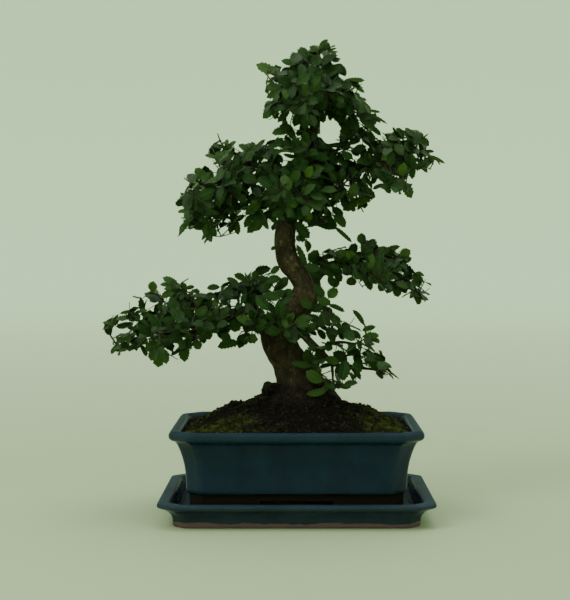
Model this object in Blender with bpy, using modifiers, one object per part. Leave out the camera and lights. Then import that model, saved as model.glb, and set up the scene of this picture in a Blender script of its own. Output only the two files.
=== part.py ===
"""Chinese elm bonsai in its glazed pot, with the drip tray that the pot stands on.

Metres, +Z up. The origin is the centre of the tray's underside and the front faces -Y.
The tree is one grown piece, the trunk with its limbs, and leafy sprays that grow from it.
"""

import math
import random

import bpy
from mathutils import Vector
from mathutils.bvhtree import BVHTree

OBJECT_NAME = "chinese_elm_bonsai"

# Linear colour and roughness of each surface
TRAY_GLAZE = ((0.016, 0.060, 0.078), 0.22)
POT_GLAZE = ((0.014, 0.056, 0.076), 0.20)
SCREEN_PLASTIC = ((0.05, 0.05, 0.05), 0.5)
EARTH = ((0.020, 0.014, 0.010), 0.95)
BARK = ((0.070, 0.050, 0.036), 0.9)
LEAF_GREEN = ((0.030, 0.085, 0.028), 0.5)

# Clearance between pieces that touch on the real thing
GAP = 0.0003

# Tray: half sizes of its foot, and the outline of its wall as (outward offset, height)
TRAY_HALF_WIDTH = 0.1258
TRAY_HALF_DEPTH = 0.0913
TRAY_CANT = 0.0125
TRAY_CANT_GROWTH = 0.26
TRAY_FLOOR = 0.010
TRAY_RIM = 0.025
TRAY_PROFILE = (
    (-0.0010, 0.0000), (0.0000, 0.0010), (0.0002, 0.0045), (0.0005, 0.0090), (0.0025, 0.0130),
    (0.0062, 0.0165), (0.0118, 0.0190), (0.0150, 0.0205), (0.0154, 0.0235), (0.0142, TRAY_RIM),
    (0.0042, TRAY_RIM), (0.0028, 0.0240), (0.0000, 0.0180), (-0.0020, 0.0130), (-0.0060, TRAY_FLOOR),
)

# Pot: half sizes of its glazed body at the bottom, then its outlines in the same form
POT_HALF_WIDTH = 0.1128
POT_HALF_DEPTH = 0.0818
POT_CANT = 0.0147
POT_CANT_GROWTH = 0.34
POT_RIM = 0.0965
POT_UNDERSIDE = 0.027
POT_FLOOR = 0.034
FOOT_BOTTOM = TRAY_FLOOR + GAP
FOOT_INSET = 0.0033
FOOT_WALL = 0.012
POT_FOOT_PROFILE = (
    (-FOOT_INSET - FOOT_WALL, POT_UNDERSIDE), (-FOOT_INSET - FOOT_WALL, FOOT_BOTTOM),
    (-FOOT_INSET - 0.0010, FOOT_BOTTOM), (-FOOT_INSET, FOOT_BOTTOM + 0.0012), (-FOOT_INSET, 0.0318),
)
POT_OUTER_PROFILE = (
    (-0.0010, 0.0320), (0.0000, 0.0340), (0.0002, 0.0460), (0.0013, 0.0580), (0.0038, 0.0690),
    (0.0070, 0.0785), (0.0102, 0.0850), (0.0140, 0.0862), (0.0166, 0.0885), (0.0172, 0.0918),
    (0.0164, 0.0950), (0.0140, POT_RIM), (0.0088, POT_RIM), (0.0058, 0.0948),
)
POT_INNER_PROFILE = (
    (0.0042, 0.0900), (0.0006, 0.0800), (-0.0042, 0.0680), (-0.0070, 0.0560), (-0.0080, 0.0440),
    (-0.0100, 0.0380), (-0.0135, POT_FLOOR),
)
FOOT_CUT_TOP = 0.0255
FOOT_CUT_HALF_TOP = 0.0365
FOOT_CUT_HALF_BOTTOM = 0.0405
FOOT_CUT_BELOW = 0.004
DRAIN_SPACING = 0.100
DRAIN_RADIUS = 0.007
DRAIN_SIDES = 12

# Plastic mesh over each drain hole
SCREEN_SIZE = 0.030
SCREEN_THICKNESS = 0.0012
SCREEN_CELLS = 2
SCREEN_BAR = 0.0012

# Soil: its edge against the pot, and the mound that it rises to round the trunk
SOIL_CLEARANCE = 0.0004
SOIL_EDGE = POT_INNER_PROFILE[0][1]
SOIL_SHOULDER = 0.0012
SOIL_RISE = 0.0305
SOIL_LEAN = 0.03
SOIL_FLAT = 0.38
SOIL_ROUGHNESS = 0.0011
SOIL_RINGS = (0.85, 0.70, 0.56, 0.44, 0.25)
SOIL_STEPS = 2
SOIL_SEED = 7
SOIL_MARGIN = 0.003
POT_FLARE = 0.030

# Trunk: centre and radius (x, y, z, r) up its length, from the root plug in the soil to the tip.
# Root waves are (lobes round the trunk, share, phase) and flute waves (lobes, share, turn a metre).
TRUNK = (
    (0.004, 0.000, 0.072, 0.030), (0.004, 0.000, 0.092, 0.036), (0.004, 0.000, 0.110, 0.0405),
    (0.004, 0.000, 0.121, 0.0405), (0.004, 0.000, 0.127, 0.0355), (0.003, 0.000, 0.133, 0.0295),
    (0.001, 0.000, 0.140, 0.0245), (-0.004, 0.000, 0.152, 0.0200), (-0.010, -0.001, 0.165, 0.0174),
    (-0.017, -0.002, 0.177, 0.0178), (-0.020, -0.003, 0.188, 0.0188), (-0.017, -0.003, 0.199, 0.0176),
    (-0.009, -0.001, 0.211, 0.0162), (0.003, 0.001, 0.222, 0.0154), (0.011, 0.003, 0.234, 0.0148),
    (0.010, 0.003, 0.246, 0.0140), (0.001, 0.002, 0.257, 0.0126), (-0.008, 0.000, 0.268, 0.0118),
    (-0.0115, -0.002, 0.284, 0.0112), (-0.011, -0.002, 0.300, 0.0110), (-0.007, -0.001, 0.320, 0.0102),
    (-0.001, 0.000, 0.340, 0.0092), (0.005, 0.000, 0.361, 0.0080), (0.012, 0.000, 0.383, 0.0066),
    (0.018, 0.000, 0.403, 0.0054), (0.022, 0.000, 0.424, 0.0044), (0.020, 0.001, 0.447, 0.0034),
    (0.017, 0.001, 0.470, 0.0022),
)
TRUNK_SIDES = 12
ROOT_LOBES = 0.085
ROOT_LOBE_TOP = 0.165
ROOT_WAVES = ((5, 0.55, 0.6), (3, 0.30, 2.0), (7, 0.15, 1.1))
FLUTE_DEPTH = 0.035
FLUTE_WAVES = ((3, 1.0, 40.0), (2, 0.6, -65.0))
PLUG_TOP = 0.121
HOLE_TOP = 0.150
BURL_CENTRE = (-0.0290, -0.010, 0.1320)
BURL_RADIUS = 0.0085

# Limbs: centre and radius (x, y, z, r) from inside the wood that each one grows from
LIMB_SIDES = 6
SIDE_LIMB_SIDES = 4
SIDE_LIMB_RADIUS = 0.004
LIMB_LOBES = 0.06
LIMB_TWIST = 300.0
LIMBS = {
    "lower_left": ((-0.016, -0.002, 0.189, 0.0082), (-0.036, -0.003, 0.196, 0.0066),
                   (-0.060, -0.006, 0.205, 0.0054), (-0.083, -0.008, 0.209, 0.0047),
                   (-0.107, -0.006, 0.206, 0.0040), (-0.134, -0.004, 0.198, 0.0032),
                   (-0.160, -0.002, 0.189, 0.0024), (-0.181, 0.000, 0.181, 0.0017)),
    "lower_left_back": ((-0.060, -0.006, 0.205, 0.0034), (-0.077, 0.018, 0.212, 0.0028),
                        (-0.103, 0.034, 0.217, 0.0021), (-0.130, 0.042, 0.216, 0.0014)),
    "lower_left_front": ((-0.083, -0.008, 0.209, 0.0032), (-0.095, -0.028, 0.202, 0.0026),
                         (-0.114, -0.039, 0.193, 0.0020), (-0.134, -0.044, 0.190, 0.0014)),
    "lower_left_rise": ((-0.098, -0.007, 0.207, 0.0028), (-0.111, 0.001, 0.223, 0.0021),
                        (-0.119, 0.004, 0.235, 0.0014)),
    "lower_left_top": ((-0.049, -0.005, 0.201, 0.0030), (-0.048, 0.010, 0.219, 0.0022),
                       (-0.053, 0.014, 0.234, 0.0014)),
    "low_right": ((-0.006, -0.006, 0.204, 0.0054), (0.004, -0.015, 0.194, 0.0048),
                  (0.014, -0.019, 0.183, 0.0043), (0.025, -0.021, 0.173, 0.0039),
                  (0.038, -0.021, 0.161, 0.0030), (0.053, -0.018, 0.156, 0.0024),
                  (0.068, -0.014, 0.155, 0.0018), (0.081, -0.011, 0.153, 0.0013)),
    "low_right_rise": ((0.025, -0.021, 0.173, 0.0025), (0.035, -0.016, 0.180, 0.0021),
                       (0.048, -0.012, 0.182, 0.0016), (0.060, -0.009, 0.180, 0.0013)),
    "low_right_drop": ((0.037, -0.021, 0.162, 0.0018), (0.038, -0.024, 0.149, 0.0014),
                       (0.038, -0.026, 0.140, 0.0012)),
    "mid_right": ((0.011, 0.003, 0.243, 0.0076), (0.029, 0.001, 0.258, 0.0058),
                  (0.046, -0.002, 0.265, 0.0049), (0.063, -0.003, 0.265, 0.0041),
                  (0.081, -0.003, 0.260, 0.0034), (0.100, -0.002, 0.254, 0.0026),
                  (0.118, 0.000, 0.246, 0.0018)),
    "mid_right_back": ((0.056, -0.002, 0.265, 0.0030), (0.072, 0.018, 0.270, 0.0023),
                       (0.088, 0.033, 0.268, 0.0014)),
    "mid_right_front": ((0.046, -0.002, 0.264, 0.0030), (0.060, -0.022, 0.260, 0.0023),
                        (0.076, -0.036, 0.254, 0.0014)),
    "upper_left": ((-0.001, 0.000, 0.344, 0.0066), (-0.013, -0.004, 0.356, 0.0054),
                   (-0.030, -0.008, 0.359, 0.0049), (-0.047, -0.010, 0.352, 0.0047),
                   (-0.059, -0.010, 0.340, 0.0045), (-0.070, -0.008, 0.325, 0.0042),
                   (-0.079, -0.005, 0.312, 0.0034)),
    "upper_left_top": ((-0.030, -0.008, 0.359, 0.0032), (-0.048, 0.006, 0.373, 0.0026),
                       (-0.066, 0.012, 0.382, 0.0020), (-0.077, 0.013, 0.389, 0.0014)),
    "upper_left_front": ((-0.047, -0.010, 0.352, 0.0032), (-0.067, -0.025, 0.352, 0.0026),
                         (-0.088, -0.032, 0.350, 0.0020), (-0.102, -0.034, 0.347, 0.0014)),
    "upper_left_back": ((-0.059, -0.010, 0.340, 0.0032), (-0.080, 0.014, 0.338, 0.0026),
                        (-0.100, 0.024, 0.333, 0.0020), (-0.112, 0.028, 0.325, 0.0014)),
    "upper_right": ((0.008, 0.000, 0.374, 0.0056), (0.030, 0.004, 0.369, 0.0046),
                    (0.052, 0.006, 0.364, 0.0041), (0.070, 0.006, 0.365, 0.0043),
                    (0.089, 0.004, 0.374, 0.0031), (0.108, 0.002, 0.380, 0.0024),
                    (0.125, 0.000, 0.382, 0.0018), (0.138, -0.002, 0.379, 0.0013)),
    "upper_right_drop": ((0.054, 0.006, 0.364, 0.0026), (0.059, -0.005, 0.347, 0.0019),
                         (0.064, -0.009, 0.333, 0.0013)),
    "upper_right_front": ((0.085, 0.004, 0.372, 0.0028), (0.099, -0.014, 0.364, 0.0021),
                          (0.110, -0.026, 0.354, 0.0014)),
    "upper_right_back": ((0.070, 0.006, 0.365, 0.0030), (0.085, 0.022, 0.379, 0.0023),
                         (0.103, 0.032, 0.388, 0.0014)),
    "upper_right_top": ((0.030, 0.004, 0.369, 0.0028), (0.042, 0.005, 0.383, 0.0021),
                        (0.050, 0.003, 0.394, 0.0014)),
    "middle_front": ((-0.002, 0.000, 0.337, 0.0038), (0.002, -0.020, 0.345, 0.0027),
                     (0.001, -0.037, 0.342, 0.0016)),
    "middle_back": ((0.002, 0.000, 0.351, 0.0036), (0.010, 0.020, 0.357, 0.0026),
                    (0.017, 0.037, 0.354, 0.0016)),
    "crown_left": ((0.021, 0.000, 0.421, 0.0034), (0.004, -0.003, 0.436, 0.0026),
                   (-0.010, -0.005, 0.446, 0.0020), (-0.021, -0.005, 0.452, 0.0014)),
    "crown_right": ((0.021, 0.000, 0.433, 0.0030), (0.036, -0.001, 0.439, 0.0022),
                    (0.050, -0.002, 0.443, 0.0014)),
    "crown_front": ((0.020, 0.000, 0.428, 0.0030), (0.014, -0.018, 0.437, 0.0022),
                    (0.008, -0.034, 0.441, 0.0014)),
    "crown_back": ((0.020, 0.000, 0.416, 0.0030), (0.027, 0.018, 0.427, 0.0022),
                   (0.033, 0.035, 0.434, 0.0014)),
}

# Sprays: limb, place along it from 0 to 1, point that the main twig's last leaf reaches, then the
# points that its forks reach. A twig that crosses something is tried again, further off each time.
TWIG_SIDES = 3
TWIG_BASE = 0.0012
TWIG_TIP = 0.0009
TWIG_FORK = 0.45
TWIG_LONG = 0.042
TWIG_SHORTEST = 0.016
TWIG_BOW = 0.5
TWIG_TRIES = 40
TWIG_STRAY = 0.0004
TWIG_STEP = 0.00015
TWIG_OUT = 0.004
TWIG_SINK = 0.9
TIP_LEAN = 0.8
SIDE_LEAN = 0.5
FORK_LEAN = 0.4
SPRAYS = {
    "crown_spray": (
        ("trunk", 1.00, (0.031, 0.000, 0.502), (0.042, 0.014, 0.484), (0.000, 0.006, 0.492)),
        ("crown_left", 1.00, (-0.042, -0.004, 0.477), (-0.032, 0.012, 0.456)),
        ("crown_left", 0.70, (-0.028, -0.014, 0.428)),
        ("crown_left", 0.45, (-0.008, 0.016, 0.414), (-0.020, 0.032, 0.436)),
        ("crown_right", 1.00, (0.064, -0.004, 0.452), (0.062, -0.018, 0.438)),
        ("crown_right", 0.60, (0.078, 0.006, 0.424), (0.060, -0.010, 0.414)),
        ("crown_front", 1.00, (-0.006, -0.046, 0.450), (0.010, -0.050, 0.428)),
        ("crown_front", 0.55, (0.026, -0.036, 0.462), (0.040, -0.038, 0.442)),
        ("crown_back", 1.00, (0.046, 0.050, 0.448), (0.020, 0.050, 0.446)),
    ),
    "upper_left_spray": (
        ("upper_left_top", 1.00, (-0.082, 0.010, 0.400), (-0.094, 0.020, 0.386)),
        ("upper_left_top", 0.45, (-0.048, 0.020, 0.394), (-0.060, 0.036, 0.380), (-0.030, 0.010, 0.392)),
        ("upper_left_front", 1.00, (-0.116, -0.034, 0.354), (-0.110, -0.048, 0.336)),
        ("upper_left_front", 0.50, (-0.080, -0.046, 0.366), (-0.078, -0.050, 0.338)),
        ("upper_left_back", 1.00, (-0.120, 0.022, 0.308), (-0.108, 0.040, 0.304)),
        ("upper_left_back", 0.55, (-0.106, 0.032, 0.350)),
        ("upper_left", 1.00, (-0.094, -0.002, 0.294), (-0.078, -0.014, 0.292)),
        ("upper_left", 0.62, (-0.050, -0.016, 0.306), (-0.036, -0.024, 0.318)),
    ),
    "upper_right_spray": (
        ("upper_right", 1.00, (0.149, -0.006, 0.373), (0.138, -0.018, 0.358)),
        ("upper_right", 0.86, (0.134, 0.008, 0.398), (0.124, 0.022, 0.400)),
        ("upper_right", 0.74, (0.104, -0.008, 0.400), (0.116, -0.022, 0.392)),
        ("upper_right_front", 1.00, (0.116, -0.036, 0.342), (0.098, -0.040, 0.344)),
        ("upper_right_back", 1.00, (0.116, 0.042, 0.390), (0.098, 0.050, 0.374)),
        ("upper_right_top", 1.00, (0.056, 0.004, 0.404), (0.070, 0.002, 0.398)),
        ("upper_right_top", 0.50, (0.062, -0.018, 0.388)),
        ("upper_right_drop", 1.00, (0.070, -0.010, 0.320), (0.080, -0.016, 0.336)),
        ("upper_right_drop", 0.35, (0.040, -0.022, 0.326), (0.048, -0.032, 0.346)),
    ),
    "middle_spray": (
        ("middle_front", 1.00, (0.010, -0.052, 0.328), (-0.012, -0.052, 0.334)),
        ("middle_front", 0.55, (-0.018, -0.034, 0.360), (0.020, -0.036, 0.362)),
        ("middle_back", 1.00, (0.024, 0.054, 0.338), (0.004, 0.054, 0.352)),
        ("trunk", 0.60, (0.038, -0.012, 0.306)),
        ("trunk", 0.74, (0.002, -0.026, 0.392), (0.014, -0.034, 0.382)),
    ),
    "mid_right_spray": (
        ("mid_right", 1.00, (0.133, 0.000, 0.238), (0.130, 0.012, 0.228)),
        ("mid_right", 0.78, (0.118, -0.006, 0.272), (0.106, 0.010, 0.276)),
        ("mid_right", 0.52, (0.074, -0.010, 0.284), (0.090, -0.014, 0.280)),
        ("mid_right", 0.62, (0.092, -0.016, 0.242)),
        ("mid_right_front", 1.00, (0.086, -0.050, 0.244), (0.068, -0.046, 0.242)),
        ("mid_right_back", 1.00, (0.104, 0.044, 0.262), (0.082, 0.048, 0.280)),
        ("mid_right", 0.24, (0.026, -0.006, 0.282), (0.046, -0.010, 0.284)),
    ),
    "lower_left_spray": (
        ("lower_left", 1.00, (-0.190, 0.002, 0.174), (-0.208, -0.006, 0.202), (-0.202, 0.010, 0.190)),
        ("lower_left", 0.84, (-0.166, 0.006, 0.222), (-0.178, -0.004, 0.208)),
        ("lower_left", 0.78, (-0.148, -0.012, 0.176), (-0.160, 0.016, 0.172)),
        ("lower_left_front", 1.00, (-0.150, -0.052, 0.196), (-0.136, -0.056, 0.176)),
        ("lower_left_front", 0.50, (-0.112, -0.058, 0.208), (-0.098, -0.052, 0.184)),
        ("lower_left_back", 1.00, (-0.148, 0.046, 0.224), (-0.138, 0.056, 0.202)),
        ("lower_left_back", 0.50, (-0.096, 0.056, 0.204), (-0.076, 0.044, 0.226)),
        ("lower_left_rise", 1.00, (-0.134, 0.006, 0.242), (-0.116, 0.012, 0.248)),
        ("lower_left_top", 1.00, (-0.070, 0.014, 0.246), (-0.054, 0.034, 0.242), (-0.034, 0.010, 0.240)),
        ("lower_left", 0.42, (-0.086, -0.026, 0.188)),
        ("lower_left", 0.22, (-0.056, -0.022, 0.184), (-0.040, -0.032, 0.200)),
        ("trunk", 0.27, (-0.014, -0.040, 0.214), (0.004, -0.042, 0.208)),
    ),
    "low_right_spray": (
        ("low_right", 1.00, (0.109, -0.008, 0.143), (0.090, -0.018, 0.160)),
        ("low_right_rise", 1.00, (0.074, -0.004, 0.186), (0.066, -0.012, 0.168)),
        ("low_right_rise", 0.45, (0.054, -0.006, 0.202), (0.036, -0.020, 0.200)),
        ("low_right_drop", 1.00, (0.044, -0.034, 0.138), (0.026, -0.036, 0.144)),
    ),
}

# Outline of the foliage seen from the front, as (x, z) on the plane through the trunk. The leaves
# stay within it. The eye that sees it stands at viewing distance, level with the lower limbs.
EYE_X = -0.0005
EYE_DISTANCE = 1.541
EYE_HEIGHT = 0.287
OUTLINE = (
    (0.034, 0.503), (0.049, 0.494), (0.053, 0.466), (0.075, 0.460), (0.077, 0.436), (0.094, 0.426),
    (0.099, 0.412), (0.089, 0.404), (0.106, 0.412), (0.123, 0.412), (0.142, 0.403), (0.146, 0.385),
    (0.160, 0.369), (0.142, 0.366), (0.139, 0.357), (0.127, 0.354), (0.125, 0.332), (0.110, 0.333),
    (0.093, 0.346), (0.087, 0.329), (0.070, 0.319), (0.057, 0.316), (0.064, 0.285), (0.046, 0.289),
    (0.025, 0.302), (0.017, 0.286), (0.046, 0.283), (0.064, 0.299), (0.080, 0.297), (0.095, 0.286),
    (0.125, 0.284), (0.126, 0.266), (0.147, 0.243), (0.145, 0.224), (0.129, 0.217), (0.119, 0.226),
    (0.080, 0.232), (0.049, 0.238), (0.047, 0.221), (0.061, 0.219), (0.080, 0.202), (0.092, 0.190),
    (0.095, 0.171), (0.112, 0.139), (0.074, 0.137), (0.057, 0.130), (0.010, 0.120), (0.002, 0.178),
    (-0.036, 0.178), (-0.062, 0.171), (-0.085, 0.171), (-0.091, 0.181), (-0.110, 0.171),
    (-0.113, 0.156), (-0.134, 0.158), (-0.140, 0.150), (-0.155, 0.152), (-0.159, 0.162),
    (-0.202, 0.166), (-0.195, 0.187), (-0.210, 0.192), (-0.210, 0.209), (-0.189, 0.217),
    (-0.178, 0.233), (-0.159, 0.247), (-0.146, 0.247), (-0.142, 0.255), (-0.117, 0.248),
    (-0.098, 0.240), (-0.079, 0.247), (-0.060, 0.259), (-0.043, 0.266), (-0.026, 0.293),
    (-0.055, 0.293), (-0.096, 0.279), (-0.106, 0.291), (-0.130, 0.291), (-0.132, 0.335),
    (-0.119, 0.346), (-0.119, 0.367), (-0.098, 0.369), (-0.099, 0.384), (-0.089, 0.395),
    (-0.068, 0.403), (-0.053, 0.395), (-0.032, 0.399), (-0.040, 0.416), (-0.036, 0.454),
    (-0.044, 0.479), (-0.015, 0.483), (-0.002, 0.496), (0.017, 0.500),
)

# Leaves: true size, one tooth a side; (along, across) as shares of length and of half width.
# They face the light, which comes from above, from the front and from outside the tree.
LEAF_LENGTH = 0.0220
LEAF_SPREAD = 0.16
LEAF_ASPECT = 0.56
LEAF_THICKNESS = 0.0007
LEAF_FOLD = 0.24
LEAF_EDGE = ((0.20, 0.78), (0.60, 1.00), (0.66, 0.77))
LEAF_PITCH = 0.0064
LEAF_MINIMUM = 2
LEAF_MAXIMUM = 4
LEAF_FIRST = 0.30
LEAF_NEXT = 0.62
LEAF_LAST = 0.98
LIGHT_ACROSS = 0.45
LIGHT_DEEP = 0.80
LIGHT_FRONT = 0.35
LIGHT_ABOVE = 0.70
LIGHT_SCATTER = 0.70
LEAF_FORWARD = 0.55
LEAF_STRAY = 0.25
LEAF_DROOP = 0.12
LEAF_WIDTHS = (0.9, 1.1)
LEAF_TRIES = 60
LEAF_CLEARANCE = 0.0004
LEAF_REACH = 0.0175
TWIG_CLEARANCE = 0.0005
SPRAY_SEED = 41


def material(name, colour, roughness):
    """A Principled material with one colour."""
    made = bpy.data.materials.new(name)
    made.use_nodes = True
    shader = made.node_tree.nodes["Principled BSDF"]
    shader.inputs["Base Color"].default_value = (*colour, 1.0)
    shader.inputs["Roughness"].default_value = roughness
    shader.inputs["Metallic"].default_value = 0.0
    return made


def clear_scene():
    """Remove every object that the file opens with."""
    for thing in list(bpy.data.objects):
        bpy.data.objects.remove(thing)


def new_collection(name):
    """A collection linked under the scene."""
    made = bpy.data.collections.new(name)
    bpy.context.scene.collection.children.link(made)
    return made


def mesh_object(name, vertices, faces, collection, surface=None):
    """An object with the given mesh, linked to a collection."""
    mesh = bpy.data.meshes.new(name)
    mesh.from_pydata([tuple(v) for v in vertices], [], faces)
    mesh.update()
    made = bpy.data.objects.new(name, mesh)
    if surface is not None:
        mesh.materials.append(surface)
    collection.objects.link(made)
    return made


def move_to(collection, thing):
    """Link an object to one collection alone."""
    for held_in in list(thing.users_collection):
        held_in.objects.unlink(thing)
    collection.objects.link(thing)


def loft(rings):
    """Vertices and faces of a closed skin through rings that all have the same number of points."""
    count = len(rings[0])
    vertices = [point for ring in rings for point in ring]
    faces = [tuple(reversed(range(count)))]
    for level in range(len(rings) - 1):
        low = level * count
        high = low + count
        for i in range(count):
            j = (i + 1) % count
            faces.append((low + i, low + j, high + j, high + i))
    last = (len(rings) - 1) * count
    faces.append(tuple(range(last, last + count)))
    return vertices, faces


def cut(target, cutter):
    """Subtract a cutter from a target, as a live modifier."""
    cutter.hide_render = True
    cutter.display_type = "WIRE"
    modifier = target.modifiers.new(f"cut {cutter.name}", "BOOLEAN")
    modifier.operation = "DIFFERENCE"
    modifier.object = cutter


def canted_ring(half_width, half_depth, cant, height):
    """Rectangle with canted corners, anticlockwise from above."""
    ring = []
    for side_x, side_y in ((1, -1), (1, 1), (-1, 1), (-1, -1)):
        on_long = Vector((side_x * (half_width - cant), side_y * half_depth, height))
        on_short = Vector((side_x * half_width, side_y * (half_depth - cant), height))
        ring += [on_long, on_short] if side_x * side_y < 0 else [on_short, on_long]
    return ring


def tray_ring(offset, height):
    """Section of the tray at an offset from its foot."""
    cant = TRAY_CANT + TRAY_CANT_GROWTH * offset
    return canted_ring(TRAY_HALF_WIDTH + offset, TRAY_HALF_DEPTH + offset, cant, height)


def pot_ring(offset, height):
    """Section of the pot at an offset from the bottom of its glazed body."""
    cant = POT_CANT + POT_CANT_GROWTH * offset
    return canted_ring(POT_HALF_WIDTH + offset, POT_HALF_DEPTH + offset, cant, height)


def make_tray(parts):
    """Drip tray: one glazed shell with a flat rim, bare clay underneath."""
    glaze = material("tray_glaze", *TRAY_GLAZE)
    rings = [tray_ring(offset, height) for offset, height in TRAY_PROFILE]
    mesh_object("tray", *loft(rings), parts, glaze)


def foot_cutter(cutters):
    """Channel through the front and back of the foot ring, wider at the bottom."""
    reach = 2 * POT_HALF_DEPTH
    low = FOOT_BOTTOM - FOOT_CUT_BELOW
    rings = []
    for y in (reach, -reach):
        rings.append([
            Vector((-FOOT_CUT_HALF_BOTTOM, y, low)), Vector((FOOT_CUT_HALF_BOTTOM, y, low)),
            Vector((FOOT_CUT_HALF_TOP, y, FOOT_CUT_TOP)), Vector((-FOOT_CUT_HALF_TOP, y, FOOT_CUT_TOP)),
        ])
    return mesh_object("foot_channel", *loft(rings), cutters)


def drain_cutter(name, x, cutters):
    """Round hole through the pot's floor."""
    depth = 3 * (POT_FLOOR - POT_UNDERSIDE)
    middle = (POT_FLOOR + POT_UNDERSIDE) / 2
    bpy.ops.mesh.primitive_cylinder_add(vertices=DRAIN_SIDES, radius=DRAIN_RADIUS, depth=depth,
                                        location=(x, 0.0, middle))
    hole = bpy.context.object
    hole.name = name
    move_to(cutters, hole)
    return hole


def make_pot(parts, cutters):
    """Pot: canted rectangle with a flared wall and a rolled rim, on a foot ring."""
    glaze = material("pot_glaze", *POT_GLAZE)
    profile = POT_FOOT_PROFILE + POT_OUTER_PROFILE + POT_INNER_PROFILE
    rings = [pot_ring(offset, height) for offset, height in profile]
    pot = mesh_object("pot", *loft(rings), parts, glaze)
    cut(pot, foot_cutter(cutters))
    for label, side in (("left", -1), ("right", 1)):
        cut(pot, drain_cutter(f"drain_hole_{label}", side * DRAIN_SPACING / 2, cutters))


def make_screens(parts):
    """Square plastic mesh lying over each drain hole."""
    plastic = material("screen_plastic", *SCREEN_PLASTIC)
    for label, side in (("left", -1), ("right", 1)):
        seat = POT_FLOOR + GAP
        bpy.ops.mesh.primitive_grid_add(x_subdivisions=SCREEN_CELLS, y_subdivisions=SCREEN_CELLS,
                                        size=SCREEN_SIZE, location=(side * DRAIN_SPACING / 2, 0.0, seat))
        screen = bpy.context.object
        screen.name = f"drain_screen_{label}"
        bpy.ops.object.mode_set(mode="EDIT")
        bpy.ops.mesh.select_all(action="SELECT")
        bpy.ops.mesh.inset(thickness=SCREEN_BAR, use_individual=True)
        bpy.ops.mesh.delete(type="FACE")
        bpy.ops.object.mode_set(mode="OBJECT")
        wall = screen.modifiers.new("thickness", "SOLIDIFY")
        wall.thickness = SCREEN_THICKNESS
        wall.offset = 1.0
        screen.data.materials.append(plastic)
        move_to(parts, screen)


def soil_height(x, y):
    """Height of the soil's mound, without its roughness."""
    reach = math.hypot(x / POT_HALF_WIDTH, y / POT_HALF_DEPTH)
    share = min(max((1.0 - reach) / (1.0 - SOIL_FLAT), 0.0), 1.0)
    return SOIL_EDGE + SOIL_SHOULDER + (SOIL_RISE - SOIL_LEAN * x) * share


def spaced(ring):
    """The ring with its sides divided evenly."""
    points = []
    for i, start in enumerate(ring):
        end = ring[(i + 1) % len(ring)]
        points += [start.lerp(end, step / SOIL_STEPS) for step in range(SOIL_STEPS)]
    return points


def soil_rings():
    """Sections of the soil, up the pot's inner wall and then in over the mound."""
    rng = random.Random(SOIL_SEED)
    rings = []
    for offset, height in reversed(POT_INNER_PROFILE):
        lift = GAP if height == POT_FLOOR else 0.0
        rings.append(spaced(pot_ring(offset - SOIL_CLEARANCE, height + lift)))
    edge = rings[-1]
    for share in SOIL_RINGS:
        ring = []
        for point in edge:
            x = point.x * share
            y = point.y * share
            rough = rng.uniform(-1, 1) * SOIL_ROUGHNESS if share > SOIL_RINGS[-1] else 0.0
            ring.append(Vector((x, y, soil_height(x, y) + rough)))
        rings.append(ring)
    return rings


def make_soil(parts, cutters):
    """Soil that fills the pot, with a plain hole for the root plug and seats for the screens."""
    earth = material("soil", *EARTH)
    soil = mesh_object("soil", *loft(soil_rings()), parts, earth)
    plug = [point for point in TRUNK if point[2] <= PLUG_TOP]
    low = (*plug[0][:2], plug[0][2] - GAP, plug[0][3])
    high = (*plug[-1][:2], HOLE_TOP, plug[-1][3])
    rings = trunk_rings((low, *plug, high), GAP)
    cut(soil, mesh_object("root_hole", *loft(rings), cutters))
    for label, side in (("left", -1), ("right", 1)):
        bpy.ops.mesh.primitive_cube_add(size=1.0, location=(side * DRAIN_SPACING / 2, 0.0, POT_FLOOR))
        seat = bpy.context.object
        seat.name = f"screen_seat_{label}"
        width = SCREEN_SIZE + 2 * GAP
        seat.scale = (width, width, 2 * (SCREEN_THICKNESS + 2 * GAP))
        move_to(cutters, seat)
        cut(soil, seat)


def sections(points, sides, shape, clearance, across):
    """Rings round a run of (x, y, z, r) points; shape(angle, point) is the share of the radius."""
    centres = [Vector(point[:3]) for point in points]
    rings = []
    for i, centre in enumerate(centres):
        before = centres[max(i - 1, 0)]
        after = centres[min(i + 1, len(centres) - 1)]
        along = (after - before).normalized()
        across = (across - across.project(along)).normalized()
        beside = along.cross(across)
        ring = []
        for step in range(sides):
            angle = math.tau * step / sides
            radius = points[i][3] * shape(angle, points[i]) + clearance
            ring.append(centre + radius * (math.cos(angle) * across + math.sin(angle) * beside))
        rings.append(ring)
    return rings


def trunk_shape(angle, point):
    """Root lobes that fade up the flare, then shallow flutes in the bark."""
    lobes = sum(share * math.sin(count * angle + phase) for count, share, phase in ROOT_WAVES)
    flute = sum(share * math.sin(count * angle + turn * point[2]) for count, share, turn in FLUTE_WAVES)
    fade = min(max((ROOT_LOBE_TOP - point[2]) / (ROOT_LOBE_TOP - PLUG_TOP), 0.0), 1.0)
    return 1.0 + ROOT_LOBES * fade * lobes + FLUTE_DEPTH * (1.0 - fade) * flute


def trunk_rings(points, clearance=0.0):
    """Sections of the trunk or its root plug."""
    return sections(points, TRUNK_SIDES, trunk_shape, clearance, Vector((1.0, 0.0, 0.0)))


def limb_shape(angle, point):
    """Slightly knobbly sections, each unlike the next."""
    return 1.0 + LIMB_LOBES * math.sin(2 * angle + LIMB_TWIST * sum(point[:3]))


def limb_rings(points, clearance=0.0):
    """Sections of a limb."""
    start = Vector(points[1][:3]) - Vector(points[0][:3])
    sides = LIMB_SIDES if points[0][3] > SIDE_LIMB_RADIUS else SIDE_LIMB_SIDES
    return sections(points, sides, limb_shape, clearance, start.orthogonal())


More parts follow.
